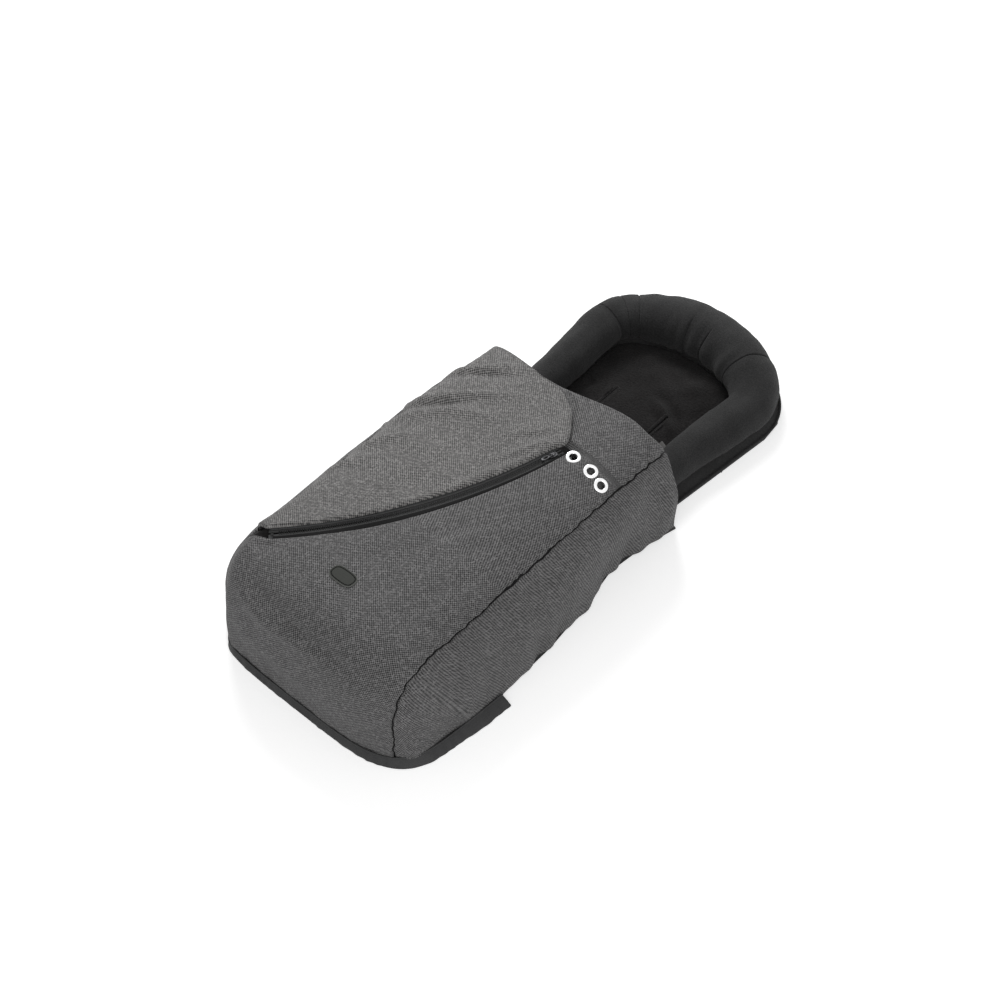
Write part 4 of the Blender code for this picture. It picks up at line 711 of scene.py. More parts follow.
def cut_from(points, row_lengths):
    """A cloth map whose width is measured from the middle line and length from row_lengths."""
    across = running_length(points, 1)
    middle = np.array([np.interp(0.0, x, length) if x[-1] > 0 else length[-1] - x[-1]
                       for x, length in zip(points[..., 0], across)])
    return np.stack([across - middle[:, None],
                     np.broadcast_to(row_lengths[:, None], across.shape)], -1)


def smooth_curve(at, given, wanted):
    """A smooth curve through a table of places, read at the wanted places."""
    at, given = np.asarray(at), np.asarray(given)
    slope = np.gradient(given, at)
    k = np.clip(np.searchsorted(at, wanted) - 1, 0, len(at) - 2)
    step = at[k + 1] - at[k]
    t = np.clip((wanted - at[k]) / step, 0, 1)
    return ((1 + 2 * t) * (1 - t) ** 2 * given[k] + t * (1 - t) ** 2 * step * slope[k]
            + t * t * (3 - 2 * t) * given[k + 1] + t * t * (t - 1) * step * slope[k + 1])


print("crowded shares", [round(v, 3) for v in crowded(7)])

# %% [markdown]
# Soft cloth is never as even as its pattern. Three kinds of relief break the plain form:
# slow swells of the wadding, short puckers where a seam draws the cloth in, and single
# folds that lie where the photograph shows them. Sums of waves with a fixed seed give the
# first two the same way on every run.

# %% Relief
def swells(p, size, seed, waves=9):
    chance = np.random.default_rng(seed)
    total = np.zeros(p.shape[:-1])
    for _ in range(waves):
        way = chance.normal(size=3)
        way /= np.linalg.norm(way) * size * chance.uniform(0.7, 1.6)
        total += np.sin(2 * np.pi * (p @ way) + chance.uniform(0, 2 * np.pi))
    return total / math.sqrt(waves)


def puckers(along, distance, pitch, reach, seed):
    wander = swells(np.stack([along, along * 0, along * 0], -1), pitch * 5, seed)
    return np.cos(2 * np.pi * along / pitch + 2.5 * wander) * np.exp(-distance / reach)


def fold(p, path, width, height, lean_side=0.0, axes=(0, 1)):
    """A soft ridge along a path of x, y places that fades out at both ends."""
    path = np.asarray(path)
    lengths = np.concatenate([[0], np.cumsum(np.linalg.norm(np.diff(path, axis=0), axis=1))])
    best = np.full(p.shape[:-1], 9.0)
    share = np.zeros(p.shape[:-1])
    side = np.zeros(p.shape[:-1])
    for k in range(len(path) - 1):
        step = path[k + 1] - path[k]
        arm = p[..., list(axes)] - path[k]
        t = np.clip((arm @ step) / (step @ step), 0, 1)
        gap = arm - t[..., None] * step
        distance = np.linalg.norm(gap, axis=-1)
        nearer = distance < best
        best = np.where(nearer, distance, best)
        share = np.where(nearer, (lengths[k] + t * np.linalg.norm(step)) / lengths[-1], share)
        side = np.where(nearer, np.sign(step[0] * gap[..., 1] - step[1] * gap[..., 0]), side)
    fade = np.sin(np.pi * np.clip(share * 0.9 + 0.05, 0, 1))
    reach = width * (1 + lean_side * side)
    return height * fade * np.exp(-(best / reach) ** 2)


def seam_sway(length):
    """How far a seam wanders sideways, by its length from the foot."""
    return 0.0011 * np.sin(2 * np.pi * length / 0.043 + 1.8 * np.sin(length / 0.021)) \
        + 0.0006 * np.sin(2 * np.pi * length / 0.0157 + 1.3)


def swayed(points, near, length):
    """Points shifted across their grid with the seam that is near them."""
    tangent = unit(np.gradient(points, axis=1))
    return points + tangent * (seam_sway(length) * np.exp(-near / 0.018))[..., None]


print("relief helpers ready")

# %% [markdown]
# The flap's free edge is needed first, because the front panel lies flat under it. Along
# the zip the edge keeps a small distance from the chain. At the head corner it is a smooth
# curve through places measured from the photograph. Both head edges sag a little.

# %% Flap's edge
FLAP_CURVE_Y = (-0.0300, -0.0215, -0.0165, -0.0100, -0.0030, 0.0058, 0.0200, 0.0322, 0.0460,
                0.0587, 0.0700, 0.0791, 0.0840, 0.0857, 0.0869, 0.0885)
FLAP_CURVE_X = (0.0705, 0.0725, 0.0758, 0.0768, 0.0750, 0.0704, 0.0612, 0.0518, 0.0430, 0.0338,
                0.0215, 0.0087, -0.0050, -0.0167, -0.0378, -0.0600)
FLAP_GAP_ALONG = (0.0, 0.10, 0.22, 0.32, 0.45)
FLAP_GAP = (0.0075, 0.0082, 0.0090, 0.0068, 0.0064)
FRONT_GAP = (0.0085, 0.0100, 0.0125, 0.0150, 0.0120)


def flap_edge_x(y):
    start_y = FLAP_CURVE_Y[0]
    low_y = np.minimum(y, start_y)
    place = zip_place(top_point_at(zip_edge_x(lambda x: top_point_at(x, low_y), 0 * y), low_y))[1]
    low_part = zip_edge_x(lambda x: top_point_at(x, low_y),
                          -np.interp(place, FLAP_GAP_ALONG, FLAP_GAP))
    knots = np.array(FLAP_CURVE_X)
    knots[0] = low_part.ravel()[np.argmin(np.abs(low_y.ravel() - start_y))]
    return np.where(y <= start_y, low_part, smooth_curve(FLAP_CURVE_Y, knots, y))


def front_head_dip(x):
    return 0.0075 * ease((x + 0.17) / 0.12) * ease((SEAM_X - x) / 0.04)


def flap_head_dip(x, y):
    return 0.0125 * ease((x + 0.165) / 0.14) * ease((y - 0.03) / 0.05)


print("flap edge at the head corner, x", round(float(flap_edge_x(np.array([-0.0165]))[0]), 4))

# %% [markdown]
# The front panel is the largest piece. It runs from the zip to the right seam, and at the
# foot it bends down and covers the toes. One grid of rows and columns covers both the flat
# and the bend. The rows start at the zip's line, which leaves the band for the zip open.
# Under the flap it lies flat, and a shallow trough along the flap's edge holds its shadow.

# %% Front panel
FIRST_STEP, LAST_STEP = -0.325, -0.236
SEAM_OPEN = 0.0005
TROUGH_DEPTH, TROUGH_WIDTH = 0.0046, 0.0055
TONGUE_START, TONGUE_END, TONGUE_X = 0.752, 0.805, -0.36 * SEAM_X


def beside_zip(row, extra=0.0):
    """Where each row meets the edge that the front panel keeps from the chain."""
    chain = zip_edge_x(lambda x: top_point(x, row), 0 * row)
    along = zip_place(top_point(chain, row))[1]
    return zip_edge_x(lambda x: top_point(x, row),
                      np.interp(along, FLAP_GAP_ALONG, FRONT_GAP) + extra)


def front_left_x(row):
    seam = -SEAM_X + SEAT / 2
    step_x = beside_zip(np.array([LAST_STEP]))[0]
    edge = beside_zip(row)
    blend = np.clip((row - FIRST_STEP) / (LAST_STEP - FIRST_STEP), 0, 1)
    rising = seam + (step_x - seam) * blend
    reach = ease((row - TONGUE_START) / (TONGUE_END - TONGUE_START))
    tongue = edge + (TONGUE_X - edge) * reach
    return np.where(row < LAST_STEP, rising, np.where(row > TONGUE_START, tongue, edge))


def front_grid(row, columns):
    left = front_left_x(row)
    right = SEAM_X - SEAM_OPEN
    x = left[:, None] + (right - left[:, None]) * crowded(columns)[None, :]
    return on_cover(x, np.broadcast_to(row[:, None], x.shape), top_girth(x),
                    head_edge_y(x) - front_head_dip(x), x)


EYELETS = ((0.1005, -0.0218), (0.1345, -0.0232), (0.1580, -0.0278))
BADGE_AT = (0.0080, -0.3975)
FOOT_FOLDS = (
    ([(-0.150, 0.156), (-0.0966, 0.1367), (-0.0425, 0.1306), (0.0159, 0.1350), (0.060, 0.143)],
     0.010, 0.0030),
    ([(-0.130, 0.178), (-0.0778, 0.1589), (-0.0327, 0.1558), (0.0096, 0.1510), (0.0675, 0.1503),
      (0.135, 0.146)], 0.009, -0.0034),
    ([(-0.120, 0.060), (-0.040, 0.075), (0.050, 0.070), (0.120, 0.085)], 0.016, 0.0016))
FRONT_FOLDS = (
    ([(0.060, -0.300), (0.085, -0.240), (0.115, -0.190)], 0.012, 0.0014),
    ([(0.110, -0.360), (0.135, -0.290), (0.150, -0.220)], 0.010, -0.0014),
    ([(0.070, 0.030), (0.100, 0.050), (0.140, 0.055)], 0.010, 0.0010))
row = -1 + 2 * crowded(230)
points = front_grid(row, 130)
cloth_map = cut_from(points, running_length(top_point(row * 0, row)[:, None], 0)[:, 0])
points = level_with_zip(points)
left, right, foot, head = edge_reach(points)
points = swayed(points, right, foot[:, -1:])
relief = 0.0016 * swells(points, 0.16, 3) + 0.0008 * swells(points, 0.055, 4) \
    + 0.0008 * puckers(foot, right, 0.019, 0.016, 5) \
    + 0.0006 * puckers(right, foot, 0.023, 0.020, 6)
for path, width, height in FOOT_FOLDS:
    relief += 1.8 * fold(points, path, width, height, axes=(0, 2))
for path, width, height in FRONT_FOLDS:
    relief += 1.6 * fold(points, path, width, height)
relief *= ease(np.minimum(left, head) / 0.03)
covered = ease((flap_edge_x(points[..., 1].ravel()).reshape(points.shape[:2]) + 0.006
                - points[..., 0]) / 0.012) * ease((points[..., 1] - first.y) / 0.02)
relief = relief * (1 - covered) - 0.0006 * covered
beyond = points[..., 0] - flap_edge_x(points[..., 1].ravel()).reshape(points.shape[:2])
relief -= TROUGH_DEPTH * hump(beyond, 0.0005, TROUGH_WIDTH) \
    * ease((points[..., 1] + 0.026) / 0.02) * ease(head / 0.02)
for x, y, size in (*((*place, 0.020) for place in EYELETS), (*BADGE_AT, 0.036)):
    apart = np.hypot(points[..., 0] - x, points[..., 1] - y)
    relief = relief * ease((apart - size * 0.45) / size) \
        - 0.0006 * ease(1.4 - apart / (size * 0.62))
aside = zip_place(points)[0]
under = np.where(aside < 0.030, -0.0024 - (STACK - 0.0024) * ease((aside - 0.018) / 0.012), -STACK)
front = sewn_panel("cover_front", points, marl, relief, under,
                   drops=(0.0016, 0.0040, 0.0012, 0.0030),
                   rounds=(0.0030, 0.0058, 0.003, 0.0045),
                   back_rounds=(0.004, 0.006, 0.006, 0.020), cloth_map=cloth_map)
dress(front, "muff", "marl_grey", "front_panel", "front_wadding", "front_lining")
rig.padded(front, 0.45)

# %% [markdown]
# The gussets are the side walls. They hang from the seam to the base, flare a little at
# the head end and hold soft upright folds, because nothing stiffens them. A near-black strip
# lies deep in the near seam as painted shade, which is why that seam reads as a fine dark
# wavy line.

# %% Gussets
def build_gusset(side, word, seed):
    row = (-1 + 2 * crowded(210))[:, None]
    girth = (SEAM_GIRTH - 0.0036) * (1 - crowded(60, 0.8))[None, :]
    row, girth = np.broadcast_arrays(row, girth)
    points = side_point(side, row, girth)
    if side < 0:
        points = points[:, ::-1]
    near, far, foot, head = edge_reach(points)
    seam, rim = (near, far) if side > 0 else (far, near)
    if side > 0:
        points = swayed(points, seam, foot[:, :1])
    upright = swells(points * np.array([0.2, 1.0, 0.12]), 0.062, seed)
    middle_height = np.sin(np.pi * np.clip(seam / (seam + rim + 1e-9), 0, 1))
    relief = (0.0020 * swells(points, 0.15, seed + 1)
              + (0.0004 + 0.0024 * middle_height) * upright
              + 0.0006 * puckers(foot, seam, 0.017, 0.014, seed + 2)) \
        * ease(np.minimum(seam, head) / 0.025) * ease((points[..., 1] + 0.60) / 0.1)
    drops = [0.0002, 0.0036, 0.0010, 0.0028] if side < 0 else [0.0040, 0.0002, 0.0010, 0.0028]
    panel = sewn_panel("cover_gusset_" + word, points, marl, relief, -STACK, drops=drops,
                       rounds=(0.0056, 0.0056, 0.003, 0.0045),
                       back_rounds=(0.006, 0.006, 0.006, 0.020))
    dress(panel, "muff", "marl_grey",
          "gusset_" + word, "gusset_wadding_" + word, "gusset_lining_" + word)
    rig.padded(panel, 0.4)


build_gusset(1, "right", 20)
build_gusset(-1, "left", 30)

row = np.broadcast_to(np.linspace(-0.99, 0.985, 260)[:, None], (260, 5))
across = np.linspace(-0.0028, 0.0028, 5)[None, :]
line = side_point(1, row, np.full(row.shape, SEAM_GIRTH))
normal = cover_normal(line)
tangent = unit(np.cross(np.gradient(line, axis=0), normal))
points = line + tangent * (across + seam_sway(running_length(line, 0)))[..., None]
# Painted shade: a near-black strip laid deep in the seam, seen through its gap as the seam's shadow line.
seam_shade_strip = closed_skin("seam_tape_right", points - normal * 0.0030, points - normal * 0.0040,
                        shade_black_cloth)
dress(seam_shade_strip, "muff", "marl_grey")

# %% [markdown]
# The flap laps over the zip. It is cut from the same cloth, padded thinner, and its free
# edge is turned and full, so it is rounded all the way through. Near the zip it sinks with
# the cover, so that it lies level with the band instead of hanging over it.

# %% Flap
FLAP_LOW, FLAP_TOP, FLAP_EDGE = 0.0008, 0.0072, 0.0012
FLAP_FOOT_ROW, FLAP_HEAD_Y = -0.228, FLAP_CURVE_Y[-1]
FLAP_FOOT_Y = float(top_point(np.array(-SEAM_X), np.array(FLAP_FOOT_ROW))[1])


def flap_grid(rows, columns):
    low_rows = int(rows * 0.68)
    high = np.sin(np.linspace(0, np.pi / 2, rows - low_rows + 1)[1:])
    y = np.concatenate([np.linspace(FLAP_FOOT_Y, first.y, low_rows),
                        first.y + (FLAP_HEAD_Y - first.y) * high])
    edge = flap_edge_x(y)
    left_x = -SEAM_X + SEAT / 2
    x = left_x + (edge - left_x)[:, None] * crowded(columns)[None, :]
    y = np.broadcast_to(y[:, None], x.shape)
    return top_point_at(x, y - flap_head_dip(x, y)), edge


FLAP_FOLDS = (
    ([(-0.070, 0.0780), (-0.1009, 0.055), (-0.1205, 0.0315), (-0.145, 0.0131), (-0.200, -0.010)],
     0.009, 0.0055),
    ([(-0.060, 0.0560), (-0.0950, 0.0330), (-0.130, 0.0080), (-0.190, -0.030)], 0.008, -0.0035),
    ([(-0.040, 0.0220), (-0.0982, -0.0264), (-0.1189, -0.0479), (-0.150, -0.0710),
      (-0.205, -0.095)], 0.0085, 0.0055),
    ([(-0.0700, -0.0200), (-0.1100, -0.0600), (-0.1400, -0.0830), (-0.195, -0.115)],
     0.008, -0.0035),
    ([(-0.030, -0.0327), (-0.0989, -0.0694), (-0.1166, -0.0938), (-0.148, -0.1196),
      (-0.20, -0.150)], 0.009, 0.0050),
    ([(-0.095, -0.1300), (-0.133, -0.1723), (-0.1415, -0.1908), (-0.165, -0.2050),
      (-0.20, -0.220)], 0.008, 0.0045),
    ([(-0.110, -0.2000), (-0.1358, -0.2315), (-0.1423, -0.2454), (-0.160, -0.2657),
      (-0.19, -0.285)], 0.008, 0.0040),
    ([(0.0561, -0.0877), (0.0373, -0.1099), (0.0292, -0.133), (0.0131, -0.1788)], 0.010, 0.0034),
    ([(0.069, -0.0145), (0.0554, -0.0322), (0.0432, -0.0513), (0.0326, -0.0778), (0.015, -0.105)],
     0.0075, 0.0040),
    ([(0.050, -0.0100), (0.0300, -0.0300), (0.0100, -0.0600)], 0.009, -0.0030))
points, edge = flap_grid(200, 110)
left, right, foot, head = edge_reach(points)
fade = np.minimum(0.030, (edge + SEAM_X) * 0.45)[:, None]
drop = (FLAP_TOP + SEAT) * (ease((points[..., 0] + SEAM_X) / fade) - 1)
normal = cover_normal(points)
points = points + normal * zip_shift(points)[..., None]
soft = ease(np.minimum(right, head) / 0.02)
relief = (0.0013 * swells(points, 0.14, 41) + 0.0006 * swells(points, 0.05, 42)) * soft
shoulder = ease(left / 0.012) * ease((0.075 - left) / 0.05)
relief += 0.0016 * shoulder * swells(points * np.array([0.25, 1.0, 0.25]), 0.060, 43, 5) * soft
for path, width, height in FLAP_FOLDS:
    relief += 1.25 * fold(points, path, width, height, 0.35) * soft
edge_up = FLAP_LOW + FLAP_EDGE
share = np.minimum(np.minimum(dome(right, 0.0062), dome(head, 0.0055)),
                   np.minimum(dome(left, 0.0042), dome(foot, 0.0040)))
face = drop + edge_up + (FLAP_TOP - edge_up) * share + relief
back = drop + edge_up + (FLAP_LOW - edge_up) * np.minimum(share * 2, 1)
flap = closed_skin("cover_flap", points + normal * face[..., None],
                   points + normal * back[..., None], light_marl,
                   np.stack([left, points[..., 1]], -1), fleece)
dress(flap, "flap", "marl_light_grey", "flap_panel", "flap_wadding", "flap_lining")
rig.padded(flap, 0.5)

# %% [markdown]
# Behind the flap's fold the lining runs on from the side wall to the flap. It is a strip of
# fleece under the fold. One edge stays on the wall and the other turns with the flap, so it
# bends across the joint, and the fold stays closed when the flap is laid back.

# %% Fold lining
FOLD_LINING_X, FOLD_LINING_THICK, UNDER_FLAP = (-0.1748, -0.1490), 0.0012, 0.0010
y = np.linspace(FLAP_FOOT_Y + 0.003, FLAP_HEAD_Y - 0.010, 150)[:, None]
x, y = np.broadcast_arrays(np.linspace(*FOLD_LINING_X, 16)[None, :], y)
fold_points = top_point_at(x, y - flap_head_dip(x, y))
normal = cover_normal(fold_points)
fold_points = fold_points + normal * zip_shift(fold_points)[..., None]
sunk = (FLAP_TOP + SEAT) * (ease((fold_points[..., 0] + SEAM_X) / 0.030) - 1) - UNDER_FLAP
fold_lining = closed_skin("fold_lining", fold_points + normal * sunk[..., None],
                          fold_points + normal * (sunk - FOLD_LINING_THICK)[..., None], fleece)
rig.slot(fold_lining, "fleece_black")
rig.sheet(fold_lining, **cut_size(fold_points), held="laid", rests_on=["cover_flap"])

# %% [markdown]
# The bolster is a stuffed horseshoe. Its line and its thickness are known from the frame,
# but stuffing is what makes it look stuffed. So a slightly slim copy is remeshed, blown up
# a little as cloth, and the neat grid of the cover is then shrunk onto that. The grid
# keeps the seams crisp, and the blown copy gives the grid its soft, uneven fullness.

# %% Bolster line
ARM_Y, TURN_Y, TURN_DEPTH = 0.052, 0.361, 0.094
ARM_X, SIDE_X = HALF_WIDTH - 0.074, HALF_WIDTH - 0.056
BOLSTER_SEAMS = (48.0, 84.0, 100.0, 143.0, 156.0, 174.0)
PLEATS = (84.0, 100.0)
ARM_HALF, ARM_WIDENS, TURN_HALF, TURN_WIDENS = 0.034, 0.007, 0.041, 0.015
ARM_LENGTH, TURN_LENGTH = TURN_Y - ARM_Y, math.pi * (SIDE_X + TURN_DEPTH) / 2
SEAM_PLACES = [ARM_LENGTH + seam / 180 * TURN_LENGTH for seam in BOLSTER_SEAMS]


def bolster_places(count, beside=()):
    """Even places along the horseshoe, and some more close beside each seam."""
    even = np.linspace(0.0, 2 * ARM_LENGTH + TURN_LENGTH, count)
    extra = [place + side for place in SEAM_PLACES for side in beside]
    kept = [v for v in even if all(abs(v - e) > 0.0006 for e in extra)]
    return np.sort(np.array(kept + extra))


def bolster_stations(s):
    """Centre, outward way, half width and half height along the horseshoe."""
    arm, turn = ARM_LENGTH, TURN_LENGTH
    total = 2 * arm + turn
    on_turn = (s > arm) & (s < arm + turn)
    side = np.where(s <= total / 2, 1.0, -1.0)
    share = np.clip(np.where(side > 0, s, total - s) / arm, 0, 1)
    angle = np.where(on_turn, (s - arm) / turn * np.pi, 0.0)
    slant = (SIDE_X - ARM_X) / arm
    straight = np.stack([side * (ARM_X + (SIDE_X - ARM_X) * share), ARM_Y + arm * share], -1)
    curved = np.stack([SIDE_X * np.cos(angle), TURN_Y + TURN_DEPTH * np.sin(angle)], -1)
    out_straight = np.stack([side, np.full_like(s, -slant)], -1)
    out_curved = np.stack([np.cos(angle) / SIDE_X, np.sin(angle) / TURN_DEPTH], -1)
    centre = np.where(on_turn[:, None], curved, straight)
    out = unit(np.where(on_turn[:, None], out_curved, out_straight))
    swell = np.sin(angle) * on_turn
    half = np.where(on_turn, TURN_HALF + TURN_WIDENS * swell, ARM_HALF + ARM_WIDENS * share)
    rise = np.where(on_turn, 0.037 + 0.006 * swell, 0.034 + 0.003 * share)
    degrees = np.where(on_turn, np.degrees(angle), np.where(side > 0, 0.0, 180.0))
    return centre, out, half, rise, degrees


def bolster_rings(s, sides, inset):
    centre, out, half, rise, _ = bolster_stations(s)
    around = 2 * np.pi * (np.arange(sides) + 0.5) / sides - np.pi / 2
    wide, up = np.cos(around), np.sin(around)
    low_outside = (wide > 0) & (up < 0)
    wide = np.where(low_outside, np.abs(wide) ** 0.66, wide)
    up = np.where(low_outside, -np.abs(up) ** 0.80, up)
    cap = np.sqrt(np.clip(1 - (1 - np.minimum(np.minimum(s, s[-1] - s) / 0.016, 1)) ** 2, 0.0, 1))
    cap = np.maximum(cap, 0.02)[:, None]
    across = (half[:, None] - inset) * wide * cap
    high = RIM + rise[:, None] + (rise[:, None] - inset) * up * cap
    flat = centre[:, None, :] + out[:, None, :] * across[..., None]
    return np.concatenate([flat, high[..., None]], -1)


def tube_mesh(name, rings):
    count, sides = rings.shape[:2]
    i, j = np.meshgrid(np.arange(count - 1), np.arange(sides), indexing="ij")
    k = (j + 1) % sides
    quads = np.stack([i * sides + j, i * sides + k, (i + 1) * sides + k, (i + 1) * sides + j], -1)
    ends = [list(range(sides)), [(count - 1) * sides + n for n in range(sides)][::-1]]
    return listed_mesh(name, rings, quads.reshape(-1, 4).tolist() + ends)


BLOWN_FRAMES = 20


def blown_up(mesh, voxel, pressure, reach):
    """Remesh a copy, inflate it as cloth for some frames, cap its movement."""
    trial = put_in_scene("blown copy", mesh)
    remesh = trial.modifiers.new("remesh", "REMESH")
    remesh.mode = "VOXEL"
    remesh.voxel_size = voxel
    shape = plain_mesh(trial)
    trial.modifiers.clear()
    trial.data = shape
    start = np.array([v.co for v in shape.vertices])
    cloth = trial.modifiers.new("cloth", "CLOTH")
    for key, value in (("use_pressure", True), ("uniform_pressure_force", pressure),
                       ("quality", 5), ("tension_stiffness", 12), ("compression_stiffness", 6),
                       ("bending_stiffness", 0.4)):
        setattr(cloth.settings, key, value)
    cloth.settings.effector_weights.gravity = 0.0
    cloth.point_cache.frame_start = 1
    cloth.point_cache.frame_end = BLOWN_FRAMES
    scene = bpy.context.scene
    for number in range(1, BLOWN_FRAMES + 1):
        scene.frame_set(number)
        trial.evaluated_get(bpy.context.evaluated_depsgraph_get())
    baked = plain_mesh(trial)
    scene.frame_set(1)
    moved = np.array([v.co for v in baked.vertices]) - start
    length = np.linalg.norm(moved, axis=1, keepdims=True)
    moved *= np.minimum(1.0, reach / np.maximum(length, 1e-9))
    baked.vertices.foreach_set("co", (start + moved).ravel())
    trial.modifiers.clear()
    bpy.data.objects.remove(trial)
    print("cloth moved its points by up to", round(float(length.max()) * 1000, 1), "mm, kept to",
          reach * 1000)
    return baked

# %% Bolster
BESIDE_SEAM = (-0.004, -0.0028, -0.0019, -0.0012, -0.0006, 0.0, 0.0006, 0.0012, 0.0019, 0.0028,
               0.004)
s = bolster_places(330, BESIDE_SEAM)
centre, out, half, rise, degrees = bolster_stations(s)
rings = bolster_rings(s, 72, 0.0)
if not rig.quick():
    slim = bolster_rings(bolster_places(120), 32, 0.006)
    blown = blown_up(tube_mesh("slim bolster", slim), 0.0055, 4.0, 0.012)
    bm = bmesh.new()
    bm.from_mesh(blown)
    tree = BVHTree.FromBMesh(bm)
    for n in range(len(s)):
        hub = Vector((*centre[n], RIM + rise[n]))
        for m in range(rings.shape[1]):
            ray = Vector(rings[n, m]) - hub
            hit = tree.ray_cast(hub, ray.normalized())
            if hit[0] is not None:
                reach = min((hit[0] - hub).length, ray.length + 0.004)
                rings[n, m] = hub + ray.normalized() * reach
    bm.free()
hub = np.concatenate([centre, (RIM + rise)[:, None]], 1)[:, None, :]
arm = rings - hub
around = np.arctan2(arm[..., 2], np.linalg.norm(arm[..., :2], axis=-1))
inner_side = np.clip(-np.einsum("nmk,nk->nm", arm[..., :2], out) / 0.05, 0, 1)
groove = np.zeros(rings.shape[:2])
for seam, place in zip(BOLSTER_SEAMS, SEAM_PLACES):
    gap = s[:, None] - place
    depth = 0.8 + 0.2 * inner_side
    if seam in PLEATS:
        depth = np.clip(inner_side * 1.6 - 0.25, 0, 1)
    groove += depth * (0.0030 * hump(gap, 0, 0.0010) + 0.0020 * hump(gap, 0, 0.014))
gathers = 0.0015 * inner_side * np.sin(s[:, None] / 0.0046 + 2 * np.sin(s[:, None] / 0.021)) \
    * (ease((degrees - 40) / 25) * ease((128 - degrees) / 25))[:, None]
relief = 0.0017 * swells(rings, 0.10, 61) + 0.0007 * swells(rings, 0.035, 62) + gathers - groove
rings = rings + unit(arm) * relief[..., None]
rings[..., 2] = np.maximum(rings[..., 2], RIM + 0.0002)
bolster = finished("bolster", tube_mesh("bolster", rings), jersey)
dress(bolster, "muff", "bolster_black", "bolster_cover", "bolster_filling")
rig.padded(bolster, 0.8)

# %% [markdown]
# What repeats or follows a path is grown by Geometry Nodes: teeth, stitches, piping and
# grip dots. A recipe is a small tree with named sizes. It is cooked on a carrier, which is
# only a line of points with an up direction, and the result is kept as a plain mesh.

# %% Recipes
def new_recipe(name, sizes):
    tree = bpy.data.node_groups.new(name, "GeometryNodeTree")
    tree.interface.new_socket("Geometry", in_out="INPUT", socket_type="NodeSocketGeometry")
    for size in sizes:
        tree.interface.new_socket(size, in_out="INPUT", socket_type="NodeSocketFloat")
    tree.interface.new_socket("Geometry", in_out="OUTPUT", socket_type="NodeSocketGeometry")
    return tree, tree.nodes.new("NodeGroupInput").outputs, tree.nodes.new("NodeGroupOutput")


def sized(tree, x, y, z):
    return add_node(tree, "ShaderNodeCombineXYZ", X=x, Y=y, Z=z).outputs[0]


def end_recipe(tree, result, finish, geometry):
    painted = add_node(tree, "GeometryNodeSetMaterial", Geometry=geometry, Material=finish)
    tree.links.new(painted.outputs[0], result.inputs[0])


def end_with_copies(tree, result, finish, **inputs):
    placed = add_node(tree, "GeometryNodeInstanceOnPoints", **inputs)
    real = add_node(tree, "GeometryNodeRealizeInstances", Geometry=placed.outputs[0])
    end_recipe(tree, result, finish, real.outputs[0])


def row_recipe(name, sizes, shape, finish):
    """Set copies of a shape along a line, X along it and Z to the line's up direction."""
    tree, given, result = new_recipe(name, ["Pitch", *sizes])
    line = add_node(tree, "GeometryNodeMeshToCurve", Mesh=given["Geometry"])
    evenly = add_node(tree, "GeometryNodeResampleCurve", {"mode": "LENGTH"},
                      Curve=line.outputs[0], Length=given["Pitch"])
    tangent = add_node(tree, "GeometryNodeInputTangent")
    up = add_node(tree, "GeometryNodeInputNamedAttribute", {"data_type": "FLOAT_VECTOR"},
                  Name="up")
    turn = add_node(tree, "FunctionNodeAlignRotationToVector", {"axis": "X"},
                    Vector=tangent.outputs[0])
    turn = add_node(tree, "FunctionNodeAlignRotationToVector", {"axis": "Z", "pivot_axis": "X"},
                    Rotation=turn.outputs[0], Vector=up.outputs[0])
    end_with_copies(tree, result, finish, Points=evenly.outputs[0],
                    Instance=shape(tree, given), Rotation=turn.outputs[0])
    return tree


def cook(name, carrier, tree, sizes, finish):
    holder = put_in_scene(name + " carrier", carrier)
    recipe = holder.modifiers.new("recipe", "NODES")
    recipe.node_group = tree
    for item in tree.interface.items_tree:
        if item.in_out == "INPUT" and item.name in sizes:
            recipe[item.identifier] = sizes[item.name]
    mesh = plain_mesh(holder)
    holder.modifiers.clear()
    bpy.data.objects.remove(holder)
    return finished(name, mesh, finish, crease=50)


def line_carrier(points, up=(0, 0, 1), closed=False):
    """A line of points; up is one direction for all of them or one for each."""
    count = len(points)
    edges = [(i, i + 1) for i in range(count - 1)] + ([(count - 1, 0)] if closed else [])
    mesh = listed_mesh("line", points, [], edges)
    ups = np.broadcast_to(np.asarray(up, dtype=np.float32), (count, 3))
    mesh.attributes.new("up", "FLOAT_VECTOR", "POINT").data.foreach_set("vector", ups.ravel())
    return mesh


def stitch_shape(tree, given):
    bead = add_node(tree, "GeometryNodeMeshUVSphere", Segments=6, Rings=4, Radius=0.5)
    scale = sized(tree, given["Length"], given["Thickness"], given["Thickness"])
    return add_node(tree, "GeometryNodeTransform", Geometry=bead.outputs[0],
                    Scale=scale).outputs[0]


stitch_recipe = row_recipe("stitches", ["Length", "Thickness"], stitch_shape, thread)


def sew(name, points, up, body, pitch, length, thickness, closed=False):
    """A row of stitches along a line of points, a little proud of the cloth."""
    row = cook(name, line_carrier(points, up, closed), stitch_recipe,
               {"Pitch": pitch, "Length": length, "Thickness": thickness}, thread)
    dress(row, body, "webbing")


print("stitch recipe has", len(stitch_recipe.nodes), "nodes")

# %% [markdown]
# The zip's tapes are woven strips with a cord along the inner edge, and its teeth are
# moulded round that cord. A tooth is a block with a narrower head; the heads of one row
# sit between the heads of the other. The rows ride on different bodies, so each row is
# cooked by itself.

# %% Zip tapes and teeth
TOOTH_STEP, TAPE_CORD = 0.0032, 0.0009


